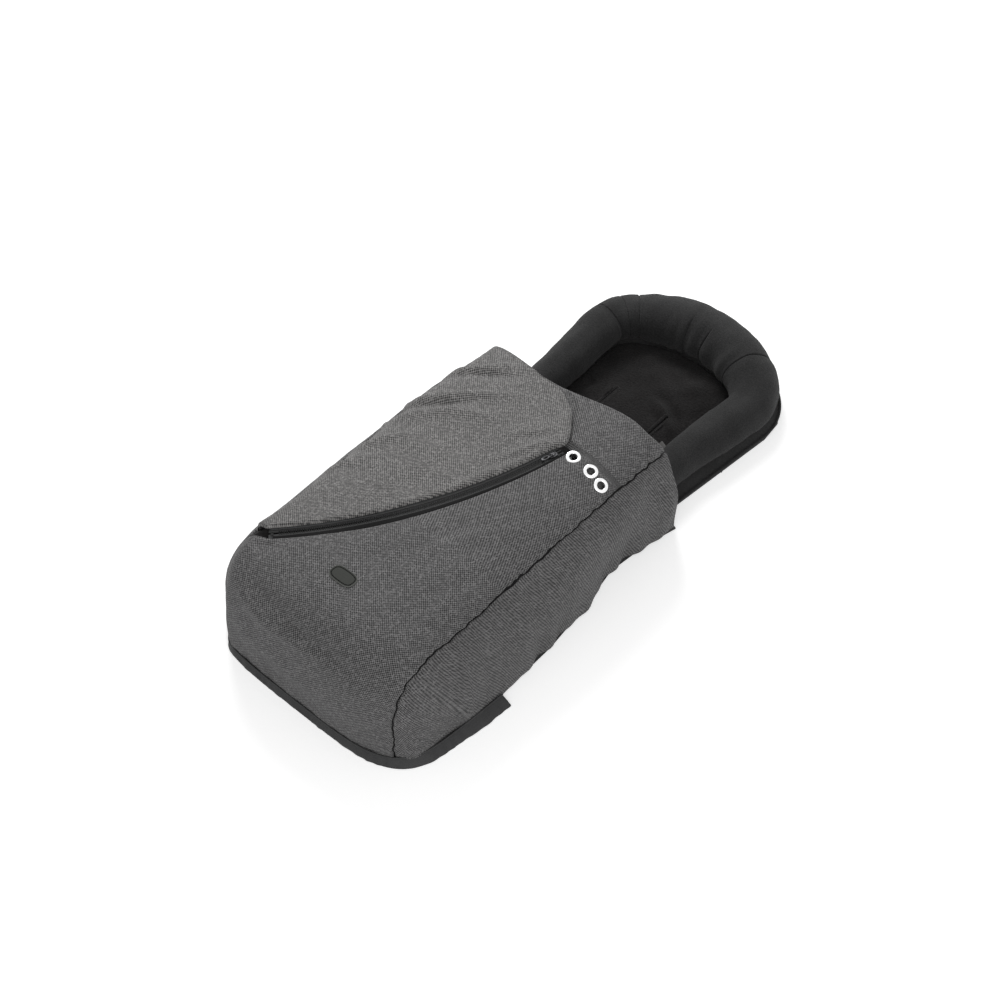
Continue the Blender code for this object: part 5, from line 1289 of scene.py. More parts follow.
def swept(name, section, start, end, steps, finish, relief=None, slide=None):
    """A closed section of (aside, up) places carried along the zip."""
    along = np.linspace(start, end, steps)[:, None]
    aside, up = np.asarray(section)[None, :, 0], np.asarray(section)[None, :, 1]
    if slide is not None:
        aside = aside + slide(along)
    if relief is not None:
        up = up + relief(aside, along)
    return finished(name, tube_mesh(name, zip_point(aside, along, up)), finish, crease=55)


def rounded_bar(left, right, low, high, steps=5, columns=1):
    """A flat bar's section with both ends half round."""
    radius, middle = (high - low) / 2, (high + low) / 2
    turn = np.linspace(-np.pi / 2, np.pi / 2, steps)
    ends = np.linspace(left + radius, right - radius, columns + 1)
    bottom = [(x, low) for x in ends[1:-1]]
    top = [(x, high) for x in ends[-2:0:-1]]
    right_end = [(right - radius + radius * np.cos(t), middle + radius * np.sin(t)) for t in turn]
    left_end = [(left + radius - radius * np.cos(t), middle - radius * np.sin(t)) for t in turn]
    return bottom + right_end + top + left_end


def tooth_shape_for(side):
    def tooth_shape(tree, given):
        blocks = []
        for size, reach, place in ((("Width", "Root", "Height"), 1.0, 0.00225),
                                   (("Head Width", "Head", "Height"), 0.9, 0.00005)):
            block = add_node(tree, "GeometryNodeMeshCube",
                             Size=sized(tree, given[size[0]], given[size[1]], given[size[2]]))
            moved = add_node(tree, "GeometryNodeTransform", Geometry=block.outputs[0],
                             Translation=(0.0, side * place, 0.0), Scale=(1.0, 1.0, reach))
            blocks.append(moved.outputs[0])
        joined = add_node(tree, "GeometryNodeJoinGeometry")
        for block in blocks:
            tree.links.new(block, joined.inputs[0])
        return joined.outputs[0]
    return tooth_shape


for side, word, body in ((1, "front", "muff"), (-1, "flap", "flap")):
    bar = rounded_bar(0.0034, 0.0170, -0.00045, 0.00045)
    bead = [(0.0029 + TAPE_CORD * math.cos(a), TAPE_CORD * math.sin(a))
            for a in np.linspace(math.radians(40), math.radians(320), 9)]
    section = np.array(bar[:-5] + bead[::-1]) * (side, 1)
    if side < 0:
        section = section[::-1]
    # The tapes take the placket's cloth, which is lightened as painted light.
    tape = swept("tape_" + word, section, 0.0, ZIP_LENGTH, 150, band_cloth_painted_light)
    dress(tape, body, "zip_tape", "zip_tape_" + word)
    along = np.arange(0.0145 + (0.0 if side > 0 else TOOTH_STEP / 2), ZIP_LENGTH - 0.014,
                      TOOTH_STEP / 2)
    tree = row_recipe("teeth " + word, ["Width", "Root", "Height", "Head Width", "Head"],
                      tooth_shape_for(side), moulding)
    teeth = cook("teeth_" + word,
                 line_carrier(zip_point(0.0, along, 0.0), ZIP_AXIS), tree,
                 {"Pitch": TOOTH_STEP, "Width": 0.0020, "Root": 0.0023, "Height": 0.0024,
                  "Head Width": 0.0014, "Head": 0.0022}, moulding)
    dress(teeth, body, "gunmetal", "zip_teeth_" + word)

for node in ("zip_top_stop_front", "zip_top_stop_flap", "zip_bottom_stop"):
    for slot in frame["nodes"][node].material_slots:
        slot.material = moulding

# %% [markdown]
# A smooth dark placket lies under the flap's edge and keeps the wind out of the zip. It is
# a double strip of lining cloth, so its edge is round and it waves a little between its
# stitches. It is swept along the zip like the tapes. Its cloth, which the tapes share, is
# painted lighter than it is, as painted light against the shade of the flap's edge.

# %% Placket
def placket_wave(aside, along):
    return 0.00012 * np.sin(along / 0.006 + 1.7 * np.sin(along / 0.05)) \
        * np.clip((aside + 0.020) / 0.014, 0, 1) + 0 * aside


# The placket's cloth is lightened as painted light against the flap's shade.
placket = swept("placket", rounded_bar(-0.0200, -0.0056, 0.00085, 0.0027, 7, 8), 0.003,
                ZIP_LENGTH - 0.003, 260, band_cloth_painted_light, placket_wave)
dress(placket, "flap", "zip_tape", "storm_placket")
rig.sheet(placket, flat=(0.0145, 0.440), held="laid", rests_on=["tape_flap"])
along = np.linspace(0.006, ZIP_LENGTH - 0.006, 160)
sew("placket_stitches", zip_point(-0.0072, along, 0.0028), ZIP_AXIS, "flap", 0.0034, 0.0026,
    0.00045)

# %% [markdown]
# The front panel's edge is bound with a strip of near-black cloth: painted shade for the
# thin dark shadow line along the lower side of the band. At the foot end a piece of dark
# lining closes the notch between flap and panel. It is a small sheet that dips under the
# tapes, the slider and the flap.

# %% Edge strip and end cloth
STRIP_WIDTH, SLIDER_ROOM = 0.0026, 0.0060
section = np.asarray(rounded_bar(-STRIP_WIDTH, 0.0006, 0.0006, 0.0019, 5, 4))
inner_part = np.clip(-section[None, :, 0] / STRIP_WIDTH, 0, 1)


def strip_slide(along):
    """The strip keeps to the panel's edge, and its inner edge keeps clear of the slider."""
    gap = np.interp(along, FLAP_GAP_ALONG, FRONT_GAP)
    return gap - inner_part * np.maximum(0, gap - STRIP_WIDTH - SLIDER_ROOM)


# Painted shade: the strip is near-black to stand for the shadow line under the band.
strip = swept("front_edge_strip", section, 0.0, ZIP_LENGTH - 0.006, 260, shade_black_cloth,
              slide=strip_slide)
dress(strip, "muff", "zip_tape")

row = np.linspace(-0.332, -0.115, 64)
left_x = -SEAM_X + 0.0006 + 0.012 * ease((row + 0.215) / 0.03)
right_x = np.where(row < LAST_STEP, front_left_x(row) + 0.009, beside_zip(row, 0.004))
x = left_x[:, None] + (right_x - left_x)[:, None] * np.linspace(0, 1, 40)[None, :]
points = top_point(x, np.broadcast_to(row[:, None], x.shape))
points = level_with_zip(points)
under_flap = ease((row + 0.229) / 0.022)[:, None] * (1 - ease((x + SEAM_X) / 0.045))
below_slider = 0.0046 * ease(1.5 - np.abs(zip_place(points)[0]) / 0.010)
deep = 0.0041 + np.maximum(0.0045 * under_flap, below_slider) + 0.0003 * swells(points, 0.02, 91)
normal = cover_normal(points)
end_cloth = closed_skin("zip_end_cloth", points - normal * deep[..., None],
                        points - normal * (deep + 0.0012)[..., None], end_lining)
dress(end_cloth, "muff", "zip_tape", "zip_end_tab")
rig.sheet(end_cloth, **cut_size(points), held="laid", rests_on=["gusset_lining_left"])

# %% [markdown]
# Small hard parts are drawn in their own frame, X to the head and Z up, and only then set
# on the zip, because a shape is easier to think of at the origin. Two shapes make most of
# them: a slab with rounded rims, and a flat bar bent along a path.

# %% Hard parts
SLIDER_REST = 0.016


def slider_frame():
    place = Vector(zip_point(0.0, SLIDER_REST, 0.0))
    across = (ZIP_CENTRE - place).normalized()
    matrix = Matrix((across.cross(ZIP_AXIS), across, ZIP_AXIS)).transposed().to_4x4()
    matrix.translation = place
    return matrix


def add_slab(bm, outline, low, high, edge):
    """A plate with an outline, its rims rounded by edge."""
    made = [[bm.verts.new((x, y, z)) for x, y in outline] for z in (low, high)]
    count = len(outline)
    faces = [bm.faces.new(made[0][::-1]), bm.faces.new(made[1])]
    for i in range(count):
        k = (i + 1) % count
        faces.append(bm.faces.new((made[0][i], made[0][k], made[1][k], made[1][i])))
    rims = [e for face in faces[:2] for e in face.edges]
    bmesh.ops.bevel(bm, geom=rims, offset=edge, segments=2, profile=0.6, affect="EDGES")


def oval(half_x, half_y, power, count=28, middle_x=0.0):
    turn = np.linspace(0, 2 * np.pi, count, endpoint=False)
    c, s = np.cos(turn), np.sin(turn)
    return [(middle_x + half_x * np.sign(a) * abs(a) ** (2 / power),
             half_y * np.sign(b) * abs(b) ** (2 / power)) for a, b in zip(c, s)]


def add_tube(bm, path, across, half_wide, half_thick, sides=8):
    """A flat bar with round edges bent along a path in its own plane."""
    path = [Vector(p) for p in path]
    rings = []
    for i, point in enumerate(path):
        tangent = (path[min(i + 1, len(path) - 1)] - path[max(i - 1, 0)]).normalized()
        lift = tangent.cross(across).normalized()
        ring = []
        for k in range(sides):
            turn = 2 * math.pi * k / sides
            ring.append(bm.verts.new(point + across * half_wide * math.cos(turn)
                                     + lift * half_thick * math.sin(turn)))
        rings.append(ring)
    for near, far in zip(rings, rings[1:]):
        add_ring_faces(bm, near, far)
    bm.faces.new(rings[0][::-1])
    bm.faces.new(rings[-1])


def between(a, b, share):
    return a[0] + (b[0] - a[0]) * share, a[1] + (b[1] - a[1]) * share


def add_ring_faces(bm, near, far):
    """The faces between two closed rings with as many points."""
    for k in range(len(near)):
        after = (k + 1) % len(near)
        bm.faces.new((near[k], near[after], far[after], far[k]))


def placed_body(name, bm, matrix, finish, crease=35):
    bmesh.ops.transform(bm, matrix=matrix, verts=bm.verts)
    return finished(name, filled_mesh(name, bm), finish, crease)


print("slider set at", [round(v, 3) for v in slider_frame().translation])

# %% [markdown]
# The slider is a small casting: two plates that hold the teeth between them, a neck at
# the head end, two low rails that guide each row, and a bridge for the pull.

# %% Slider
bm = bmesh.new()
plate = [(x * (1 if x > 0 else 1.02), y * (1.0 + 0.10 * x / 0.0074))
         for x, y in oval(0.0074, 0.0047, 3.2)]
add_slab(bm, plate, 0.0019, 0.0034, 0.0004)
add_slab(bm, plate, -0.0034, -0.0019, 0.0004)
add_slab(bm, oval(0.0013, 0.0011, 2.4, 12, 0.0052), -0.0020, 0.0020, 0.0001)
for side in (1, -1):
    rail = [(-0.0068, side * 0.0044), (0.0068, side * 0.0050), (0.0068, side * 0.0041),
            (-0.0068, side * 0.0036)][::-side]
    add_slab(bm, rail, 0.0008, 0.0020, 0.0002)
    add_slab(bm, rail, -0.0020, -0.0008, 0.0002)
arch = [(-0.0042, 0, 0.0030), (-0.0040, 0, 0.0046), (-0.0032, 0, 0.0056), (-0.0015, 0, 0.0060),
        (0.0015, 0, 0.0060), (0.0032, 0, 0.0056), (0.0040, 0, 0.0046), (0.0042, 0, 0.0030)]
add_tube(bm, arch, Vector((0, 1, 0)), 0.0010, 0.0005)
slider = placed_body("slider_casting", bm, slider_frame(), gunmetal)
dress(slider, "slider", "gunmetal", "zip_slider")

# %% [markdown]
# The pull hangs on a pin under the bridge. Two bent arms lead from the pin to a flat frame
# with rounded edges, made of rings of points between its outline and its hole.

# %% Pull
bm = bmesh.new()
PIN_X, PIN_UP = -0.001, 0.0044
add_tube(bm, [(PIN_X, -0.0026, PIN_UP), (PIN_X, 0.0026, PIN_UP)], Vector((1, 0, 0)),
         0.0006, 0.0006)
for side in (1, -1):
    add_tube(bm, [(PIN_X + 0.0004, side * 0.0021, PIN_UP), (PIN_X - 0.0040, side * 0.0022, PIN_UP),
                  (PIN_X - 0.0062, side * 0.0027, PIN_UP)], Vector((0, 1, 0)), 0.0005, 0.0006)
handle = oval(0.0068, 0.0034, 2.8, 32, PIN_X - 0.0122)
hole = oval(0.0040, 0.0017, 2.4, 32, PIN_X - 0.0114)
PULL_PROFILE = ((0.0, -0.00022), (0.35, -0.0005), (0.65, -0.0005), (1.0, -0.00022),
                (1.0, 0.00022), (0.65, 0.0005), (0.35, 0.0005), (0.0, 0.00022))
grid = [[bm.verts.new((*between(a, b, share), PIN_UP + up)) for a, b in zip(handle, hole)]
        for share, up in PULL_PROFILE]
for near, far in zip(grid, grid[1:] + grid[:1]):
    add_ring_faces(bm, near, far)
pull = placed_body("slider_pull", bm, slider_frame(), gunmetal, 50)
dress(pull, "pull", "gunmetal", "zip_pull")

# %% [markdown]
# Three bright eyelets are clamped through the panel. Each is turned from one profile, a
# barrel with a rolled lip. Wadding pushes the rings a few degrees out of square, so the
# frame that each is turned on leans a little. Their holes are real: a cutter goes into the
# panel's face, and the walls and floor of the hole show dark net.

# %% Eyelets
RING_LEAN = (0.11, -0.12, 0.0)


def surface_frame(x, y):
    point = top_point_at(np.asarray(x), np.asarray(y))
    normal = cover_normal(point)
    point = point + normal * zip_shift(point)
    up = (Vector(normal) + Vector(RING_LEAN)).normalized()
    sideways = Vector((0, 1, 0)).cross(up).normalized()
    matrix = Matrix((sideways, up.cross(sideways), up)).transposed().to_4x4()
    matrix.translation = Vector(point)
    return matrix


def turned(profile, sides):
    """A closed profile of (radius, height) places turned about the Z axis."""
    bm = bmesh.new()
    rings = [[bm.verts.new((r * math.cos(a), r * math.sin(a), h)) for r, h in profile]
             for a in np.linspace(0, 2 * math.pi, sides, endpoint=False)]
    for near, far in zip(rings, rings[1:] + rings[:1]):
        add_ring_faces(bm, near, far)
    return bm


RING = ((0.0062, -0.0030), (0.0062, 0.0006), (0.0064, 0.0010), (0.0069, 0.0014), (0.0081, 0.0016),
        (0.0094, 0.0015), (0.0105, 0.0011), (0.0111, 0.0006), (0.01125, 0.0002),
        (0.0110, -0.0002), (0.0067, -0.0002), (0.0064, -0.0030))
WASHER = ((0.0064, -0.0002), (0.0098, -0.0002), (0.0100, -0.0006), (0.0098, -0.0010),
          (0.0064, -0.0010))
cutters = bmesh.new()
for number, (x, y) in enumerate(EYELETS, 1):
    place = surface_frame(x, y)
    for word, node, profile, sides, lower in (("ring", "eyelet", RING, 48, 0.0),
                                              ("back", "eyelet_washer", WASHER, 40, STACK)):
        piece = placed_body(f"eyelet_{word}_{number}", turned(profile, sides),
                            place @ Matrix.Translation((0, 0, -lower)), steel, 60)
        dress(piece, "muff", "bright_steel", f"{node}_{number}")
    bmesh.ops.create_cone(cutters, cap_ends=True, segments=32, radius1=0.0063, radius2=0.0063,
                          depth=0.012, matrix=place @ Matrix.Translation((0, 0, -0.0005)))


def cut_out(piece, cutters, finish):
    """Take the cutters out of a piece for good; the walls of the cuts get the finish."""
    shape = filled_mesh("cutter", cutters)
    shape.materials.append(finish)
    cutter = put_in_scene("cutter", shape)
    cut = piece.modifiers.new("cut", "BOOLEAN")
    cut.operation, cut.solver, cut.object = "DIFFERENCE", "EXACT", cutter
    cut.material_mode = "TRANSFER"
    mesh = plain_mesh(piece)
    piece.modifiers.clear()
    piece.data = mesh
    mesh.name = piece.name
    bpy.data.objects.remove(cutter)
    print(piece.name, "cut, now", len(mesh.polygons), "faces")


cut_out(front, cutters, net)

# %% [markdown]
# The badge is a bare rubber patch with cut corners: a flat middle, a groove, and a raised
# rim with a row of stitches. Its groove is painted near-black as painted shade, and the
# outer band of its rim is painted a lighter grey as a painted highlight. It carries no
# words. Rings of points from its middle to its rim follow the cloth underneath, and each
# ring's height gives the patch its profile.

# %% Badge
BADGE_HALF = (0.0216, 0.0127)
BADGE_POWER, BADGE_SIDES = 3.2, 96


def badge_ring(share, lift):
    turn = np.linspace(0, 2 * np.pi, BADGE_SIDES, endpoint=False)
    reach = (np.abs(np.cos(turn)) ** BADGE_POWER
             + np.abs(np.sin(turn)) ** BADGE_POWER) ** (-1 / BADGE_POWER)
    rim = 1 - share
    x = BADGE_AT[0] + (BADGE_HALF[0] * (1 - rim * BADGE_HALF[1] / BADGE_HALF[0]) if share > 0.5
                       else BADGE_HALF[0] * share) * reach * np.cos(turn)
    y = BADGE_AT[1] + BADGE_HALF[1] * share * reach * np.sin(turn)
    point = top_point_at(x, y)
    normal = cover_normal(point)
    return point + normal * (zip_shift(point) + lift)[..., None], normal


BADGE_PROFILE = ((0.02, 0.00105), (0.3, 0.0011), (0.6, 0.00105), (0.71, 0.0010), (0.745, 0.0003),
                 (0.79, 0.0003), (0.82, 0.0012), (0.88, 0.0014), (0.94, 0.0014), (0.985, 0.0010),
                 (1.0, 0.0003), (0.99, -0.0008))
SHADED_GROOVE_BANDS, RIM_HIGHLIGHT_BANDS = (3, 4), (8, 9)
rings = np.stack([badge_ring(share, lift)[0] for share, lift in BADGE_PROFILE])
badge = finished("badge", tube_mesh("badge", rings), rubber, 40)
# Painted shade in the groove and a painted highlight on the rim's outer band.
for finish in (shade_black_cloth, rim_highlight_rubber):
    badge.data.materials.append(finish)
for polygon in badge.data.polygons:
    band = polygon.index // BADGE_SIDES
    polygon.material_index = 1 if band in SHADED_GROOVE_BANDS else 2 if band in RIM_HIGHLIGHT_BANDS else 0
dress(badge, "muff", "badge_rubber", "badge_patch")
line, ups = badge_ring(0.88, 0.0015)
sew("badge_stitches", line, ups, "muff", 0.0022, 0.0015, 0.00035, closed=True)

# %% [markdown]
# A loop of narrow webbing is sewn inside the head edge. It is a flat band bent back on
# itself, so it is made from a path and a flat round-edged section.

# %% Webbing loop
start = top_point_at(np.asarray(SEAM_X - 0.006), np.asarray(HEAD_Y - 0.010))
normal = Vector(cover_normal(start))
root = Vector(start) - normal * (STACK + 0.0015)
path = []
for share in np.linspace(0.0, 1.0, 41):
    out = max(0.0, math.sin(math.pi * share)) ** 0.5
    path.append(root + Vector((0, 0.042 * out, 0)) - normal * (0.0006 + 0.012 * share))
bm = bmesh.new()
add_tube(bm, path, Vector((0, 1, 0)).cross(normal).normalized(), 0.005, 0.0006, 12)
loop = placed_body("webbing_loop", bm, Matrix.Identity(4), light_web, 60)
dress(loop, "muff", "webbing", "side_loop")

# %% [markdown]
# The fleece mat fills the whole floor of the footmuff and shows in the nest inside the
# bolster. Its outline is known as a half width for each row, so rows of points that reach
# from side to side make it. Stuffing lifts its middle, and a few folds lie as photographed.

# %% Mat outline
MAT_TOP = RIM + 0.0118
MAT_INSET, MAT_FOOT_POWER = 0.0149, 3.9
UNDER_BOLSTER = 0.62
MAT_FOLDS = (
    ([(-0.1109, 0.2713), (-0.0909, 0.2577), (-0.0904, 0.2393)], 0.006, -0.0040),
    ([(-0.0620, 0.2760), (-0.0540, 0.2520), (-0.0427, 0.2311), (-0.0549, 0.2200)],
     0.007, 0.0030),
    ([(0.0080, 0.2921), (0.0305, 0.2847), (0.0585, 0.2703), (0.0841, 0.2484)], 0.007, 0.0050),
    ([(0.0000, 0.3101), (0.0305, 0.3047), (0.0655, 0.2903), (0.0941, 0.2584)],
     0.008, -0.0040),
    ([(0.0180, 0.2700), (0.0450, 0.2600), (0.0700, 0.2400)], 0.006, -0.0030),
    ([(-0.0600, 0.1600), (-0.0100, 0.1900), (0.0500, 0.1850)], 0.010, 0.0022),
    ([(-0.0700, 0.3600), (0.0000, 0.3750), (0.0600, 0.3500)], 0.012, 0.0020))


def mat_rows():
    """Half width and length place of each row, from the foot to the head."""
    turn = np.linspace(np.pi / 2, 0, 46)[:-1]
    wide, deep = HALF_WIDTH - MAT_INSET, BEND_DEPTH - MAT_INSET
    foot = np.stack([wide * np.cos(turn) ** (2 / MAT_FOOT_POWER),
                     BEND_Y - deep * np.sin(turn) ** (2 / MAT_FOOT_POWER)], -1)
    y = np.linspace(BEND_Y, 0.036, 90)
    sides = np.stack([HALF_WIDTH + side_bulge(y, np.zeros_like(y)) - MAT_INSET, y], -1)
    y = np.linspace(0.0485, TURN_Y, 84)[:-1]
    share = (y - ARM_Y) / (TURN_Y - ARM_Y)
    arms = np.stack([ARM_X + (SIDE_X - ARM_X) * share
                     - UNDER_BOLSTER * (ARM_HALF + ARM_WIDENS * share), y], -1)
    angle = np.linspace(0, np.pi / 2, 46)
    half = UNDER_BOLSTER * (TURN_HALF + TURN_WIDENS * np.sin(angle))
    out = unit(np.stack([np.cos(angle) / SIDE_X, np.sin(angle) / TURN_DEPTH], -1))
    turned_end = np.stack([SIDE_X * np.cos(angle), TURN_Y + TURN_DEPTH * np.sin(angle)], -1) \
        - out * half[:, None]
    return np.concatenate([foot, sides, arms, turned_end])


rows = mat_rows()
print("mat's half width at its bend", round(float(rows[45, 0]), 4), "in", len(rows), "rows")

# %% Mat
share = 2 * crowded(90, 0.8) - 1
x = rows[:, 0][:, None] * share[None, :]
y = np.broadcast_to(rows[:, 1][:, None], x.shape)
flat = np.stack([x, y, np.zeros_like(x)], -1)
left, right, foot, head = edge_reach(flat)
edge = np.minimum(np.minimum(left, right), np.minimum(foot, head))
round_off = dome(edge, 0.006)
nest = ease((y - 0.06) / 0.08) * (ease((edge + 0.02) / 0.13) - 0.5)
high = MAT_TOP + 0.0115 * nest + 0.0016 * swells(flat, 0.09, 71) * ease(edge / 0.02) \
    + 0.0008 * swells(flat, 0.035, 72) * ease(edge / 0.02)
for path, width, height in MAT_FOLDS:
    high = high + fold(flat, path, width, height) * ease(edge / 0.02)
edge_height = (RIM + MAT_TOP) / 2
top = edge_height + (high - edge_height) * round_off
under = edge_height + (RIM + 0.0001 - edge_height) * round_off
face, back = flat.copy(), flat.copy()
face[..., 2], back[..., 2] = top, under
mat = closed_skin("fleece_mat", face, back, fleece, np.stack([x, y], -1))
cutters = bmesh.new()
SLOTS = ((0.0, -0.060), (0.052, 0.240), (-0.052, 0.240))
SLOT_HALF, SLOT_REACH = 0.0032, 0.0375


def slot_line(x, y, grow, count=14):
    """A long slot's outline: two straight sides and two half circles."""
    half, reach = SLOT_HALF + grow, SLOT_REACH - SLOT_HALF
    turn = np.linspace(0, np.pi, count)
    head_end = [(x + half * math.cos(t), y + reach + half * math.sin(t)) for t in turn]
    foot_end = [(x - half * math.cos(t), y - reach - half * math.sin(t)) for t in turn]
    return head_end + foot_end


for x0, y0 in SLOTS:
    add_slab(cutters, slot_line(x0, y0, 0.0004), -0.002, 0.04, 0.00001)
cut_out(mat, cutters, fleece)
dress(mat, "muff", "fleece_black", "liner_mat", "base_wadding")
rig.padded(mat, 0.3)

# %% [markdown]
# Each harness slot is bound with a soft black tape, so that the harness doesn't fray it.
# The tape is a flat ring round the slot with one row of stitches along its middle.

# %% Slot bindings
mat_tree = BVHTree.FromPolygons([v.co for v in mat.data.vertices],
                                [p.vertices[:] for p in mat.data.polygons])


def mat_height(x, y):
    hit = mat_tree.ray_cast(Vector((x, y, 0.2)), Vector((0, 0, -1)))
    return hit[0].z if hit[0] is not None else MAT_TOP


BINDING_PROFILE = ((0.0, -0.003), (0.0, 0.0004), (0.12, 0.0010), (0.5, 0.0013),
                   (0.88, 0.0010), (1.0, 0.0003), (1.0, -0.003))
for number, (x0, y0) in enumerate(SLOTS, 1):
    inner, outer = slot_line(x0, y0, -0.0027), slot_line(x0, y0, 0.0030)
    bm = bmesh.new()
    rings = [[bm.verts.new((*between(a, b, share), mat_height(*b) + lift - 0.0006))
              for share, lift in BINDING_PROFILE] for a, b in zip(inner, outer)]
    for near, far in zip(rings, rings[1:] + rings[:1]):
        add_ring_faces(bm, near, far)
    name = f"slot_edge_{number}"
    dress(finished(name, filled_mesh(name, bm), fleece, 60), "muff", "webbing",
          f"slot_binding_{number}")
    line = [(px, py, mat_height(*outer[n]) + 0.0007)
            for n, (px, py) in enumerate(slot_line(x0, y0, 0.0014))]
    sew(f"slot_stitches_{number}", line, (0, 0, 1), "muff", 0.0034, 0.0026, 0.0005, closed=True)

# %% [markdown]
# The base is a coated grip sheet. The frame's own solid has the right outline and slots,
# so a merged copy of it gets rounded rims. Rows of small grip dots are grown under it: a
# grid of points is kept only where a ray finds the sheet above.

# %% Base sheet and grip dots
bm = bmesh.new()
bm.from_mesh(frame["nodes"]["base_panel"].data)
bmesh.ops.remove_doubles(bm, verts=bm.verts, dist=1e-6)
bmesh.ops.dissolve_limit(bm, angle_limit=math.radians(1), verts=bm.verts, edges=bm.edges)
sharp = [e for e in bm.edges if len(e.link_faces) == 2 and e.calc_face_angle() > 1.0]
bmesh.ops.bevel(bm, geom=sharp, offset=0.0007, segments=2, profile=0.6, affect="EDGES")
bmesh.ops.triangulate(bm, faces=bm.faces)
grip = finished("grip_sheet", filled_mesh("grip_sheet", bm), nylon, 35)
# Faces at the head end take a cloth like the jersey, made lighter as painted light against the shade that falls on
# that edge.
grip.data.materials.append(base_edge_cloth_painted_light)
for polygon in grip.data.polygons:
    polygon.material_index = int(polygon.center.y > HEAD_Y and polygon.normal.z > -0.5)
dress(grip, "muff", "grip_sheet", "base_panel")

tree, given, result = new_recipe("grip dots", ["Radius", "Width", "Length"])
grid = add_node(tree, "GeometryNodeMeshGrid", Size_X=given["Width"], Size_Y=given["Length"],
                Vertices_X=32, Vertices_Y=60)
ray = add_node(tree, "GeometryNodeRaycast", Target_Geometry=given["Geometry"],
               Ray_Direction=(0.0, 0.0, 1.0), Ray_Length=0.05)
missed = add_node(tree, "FunctionNodeBooleanMath", {"operation": "NOT"}, n0=ray.outputs["Is Hit"])
kept = add_node(tree, "GeometryNodeDeleteGeometry", Geometry=grid.outputs[0],
                Selection=missed.outputs[0])
dot = add_node(tree, "GeometryNodeMeshUVSphere", Segments=10, Rings=4, Radius=given["Radius"])
flat_dot = add_node(tree, "GeometryNodeTransform", Geometry=dot.outputs[0], Scale=(1.0, 1.0, 0.16))
end_with_copies(tree, result, webbing, Points=kept.outputs[0], Instance=flat_dot.outputs[0])
dots = cook("grip_dots", grip.data.copy(), tree,
            {"Radius": 0.0019, "Width": 0.37, "Length": 0.70}, webbing)
dress(dots, "muff", "grip_sheet")

# %% [markdown]
# Under the feet the base has a wipeable pocket, where shoes rest. One sheet of coated
# nylon goes round the foot end, belly out, and turns in under the sole. Rows run round the
# rim and columns run down the wall; small gathers under its binding show that it is sewn.

# %% Foot pocket
POCKET_MOUTH_Y, POCKET_OFF, NYLON_THICK, WALL_ROWS = -0.303, 0.0021, 0.0008, 7
FLARE, FLARE_RIGHT, FLARE_LEFT, FLARE_MOUTH, TURNED_IN = 0.0075, 0.0080, -0.0105, 0.004, 0.020


def rim_line(count):
    """Points of the cover's bottom edge from the right mouth round the foot to the left."""
    head_y = float(head_edge_y(np.asarray(SEAM_X))) + GUSSET_FLARE
    mouth = (POCKET_MOUTH_Y - BEND_Y) / (head_y - BEND_Y)
    row = np.linspace(mouth, 0, 30)[:-1]
    side = side_point(1, row, np.zeros_like(row))
    girth = np.linspace(0.02, SEAM_GIRTH, 60)
    corner = side_point(1, np.full_like(girth, -1.0), girth)
    x = np.linspace(SEAM_X, 0, 50)[1:]
    end = top_point(x, np.full_like(x, -1.0))
    half = np.concatenate([side, corner, end])
    whole = np.concatenate([half, (half * (-1, 1, 1))[::-1][1:]])
    length = running_length(whole, 0)
    even = np.linspace(0, length[-1], count)
    return np.stack([np.interp(even, length, whole[:, k]) for k in range(3)], -1), even


rim, along = rim_line(260)
tangent = unit(np.gradient(rim, axis=0))
out = unit(np.cross(np.array([0.0, 0.0, 1.0]), tangent))
out *= np.sign((out * rim).sum(-1))[:, None]
out[:, 2] = 0
flare = FLARE + np.where(out[:, 0] > 0, FLARE_RIGHT, FLARE_LEFT) * np.abs(out[:, 0]) \
    + FLARE_MOUTH * ease((rim[:, 1] + 0.44) / 0.13) * (out[:, 0] > 0)
profile = np.array([(0.0, 0.0118), (0.02, 0.0104), (0.30, 0.0085), (0.62, 0.0060), (0.90, 0.0032),
                    (1.0, 0.0016), (0.97, 0.0004), (0.88, 0.0), (0.55, 0.0), (0.0, 0.0)])
steps = np.linspace(0, len(profile) - 1, 46)
aside = np.interp(steps, np.arange(len(profile)), profile[:, 0])
up = np.interp(steps, np.arange(len(profile)), profile[:, 1])
under_foot = np.clip((steps - WALL_ROWS) / (len(profile) - 1 - WALL_ROWS), 0, 1)
distance = POCKET_OFF + (flare[:, None] - POCKET_OFF) * aside[None, :] \
    - TURNED_IN * under_foot[None, :] - POCKET_OFF * under_foot[None, :]
belly = np.sin(np.pi * np.clip(steps / WALL_ROWS, 0, 1))[None, :]
gather = belly * (0.0009 * np.sin(along / 0.0032 + 2.2 * np.sin(along / 0.017))
                  + 0.0018 * swells(rim, 0.05, 81) - 0.0008)[:, None]
outer = np.concatenate([rim[:, None, :2] + out[:, None, :2] * (distance + gather)[..., None],
                        np.broadcast_to(up[None, :, None], (*distance.shape, 1)) + 0.0], -1)
outer[..., 1] = np.minimum(outer[..., 1], POCKET_MOUTH_Y)
lean = np.pi / 2 * np.clip((up - 0.0005) / 0.0015, 0, 1)
inward = np.stack([-np.sin(lean), np.cos(lean)], -1)
inner = outer.copy()
inner[..., :2] += out[:, None, :2] * (inward[None, :, 0] * NYLON_THICK)[..., None]
inner[..., 2] += inward[None, :, 1] * NYLON_THICK
inner[0], inner[-1] = outer[0], outer[-1]
inner[:, 0], inner[:, -1] = outer[:, 0], outer[:, -1]
pocket = closed_skin("pocket", outer, inner, nylon)
dress(pocket, "muff", "grip_sheet", "foot_pocket")
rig.sheet(pocket, **cut_size(outer), held="stretched", rests_on=["base_panel"])

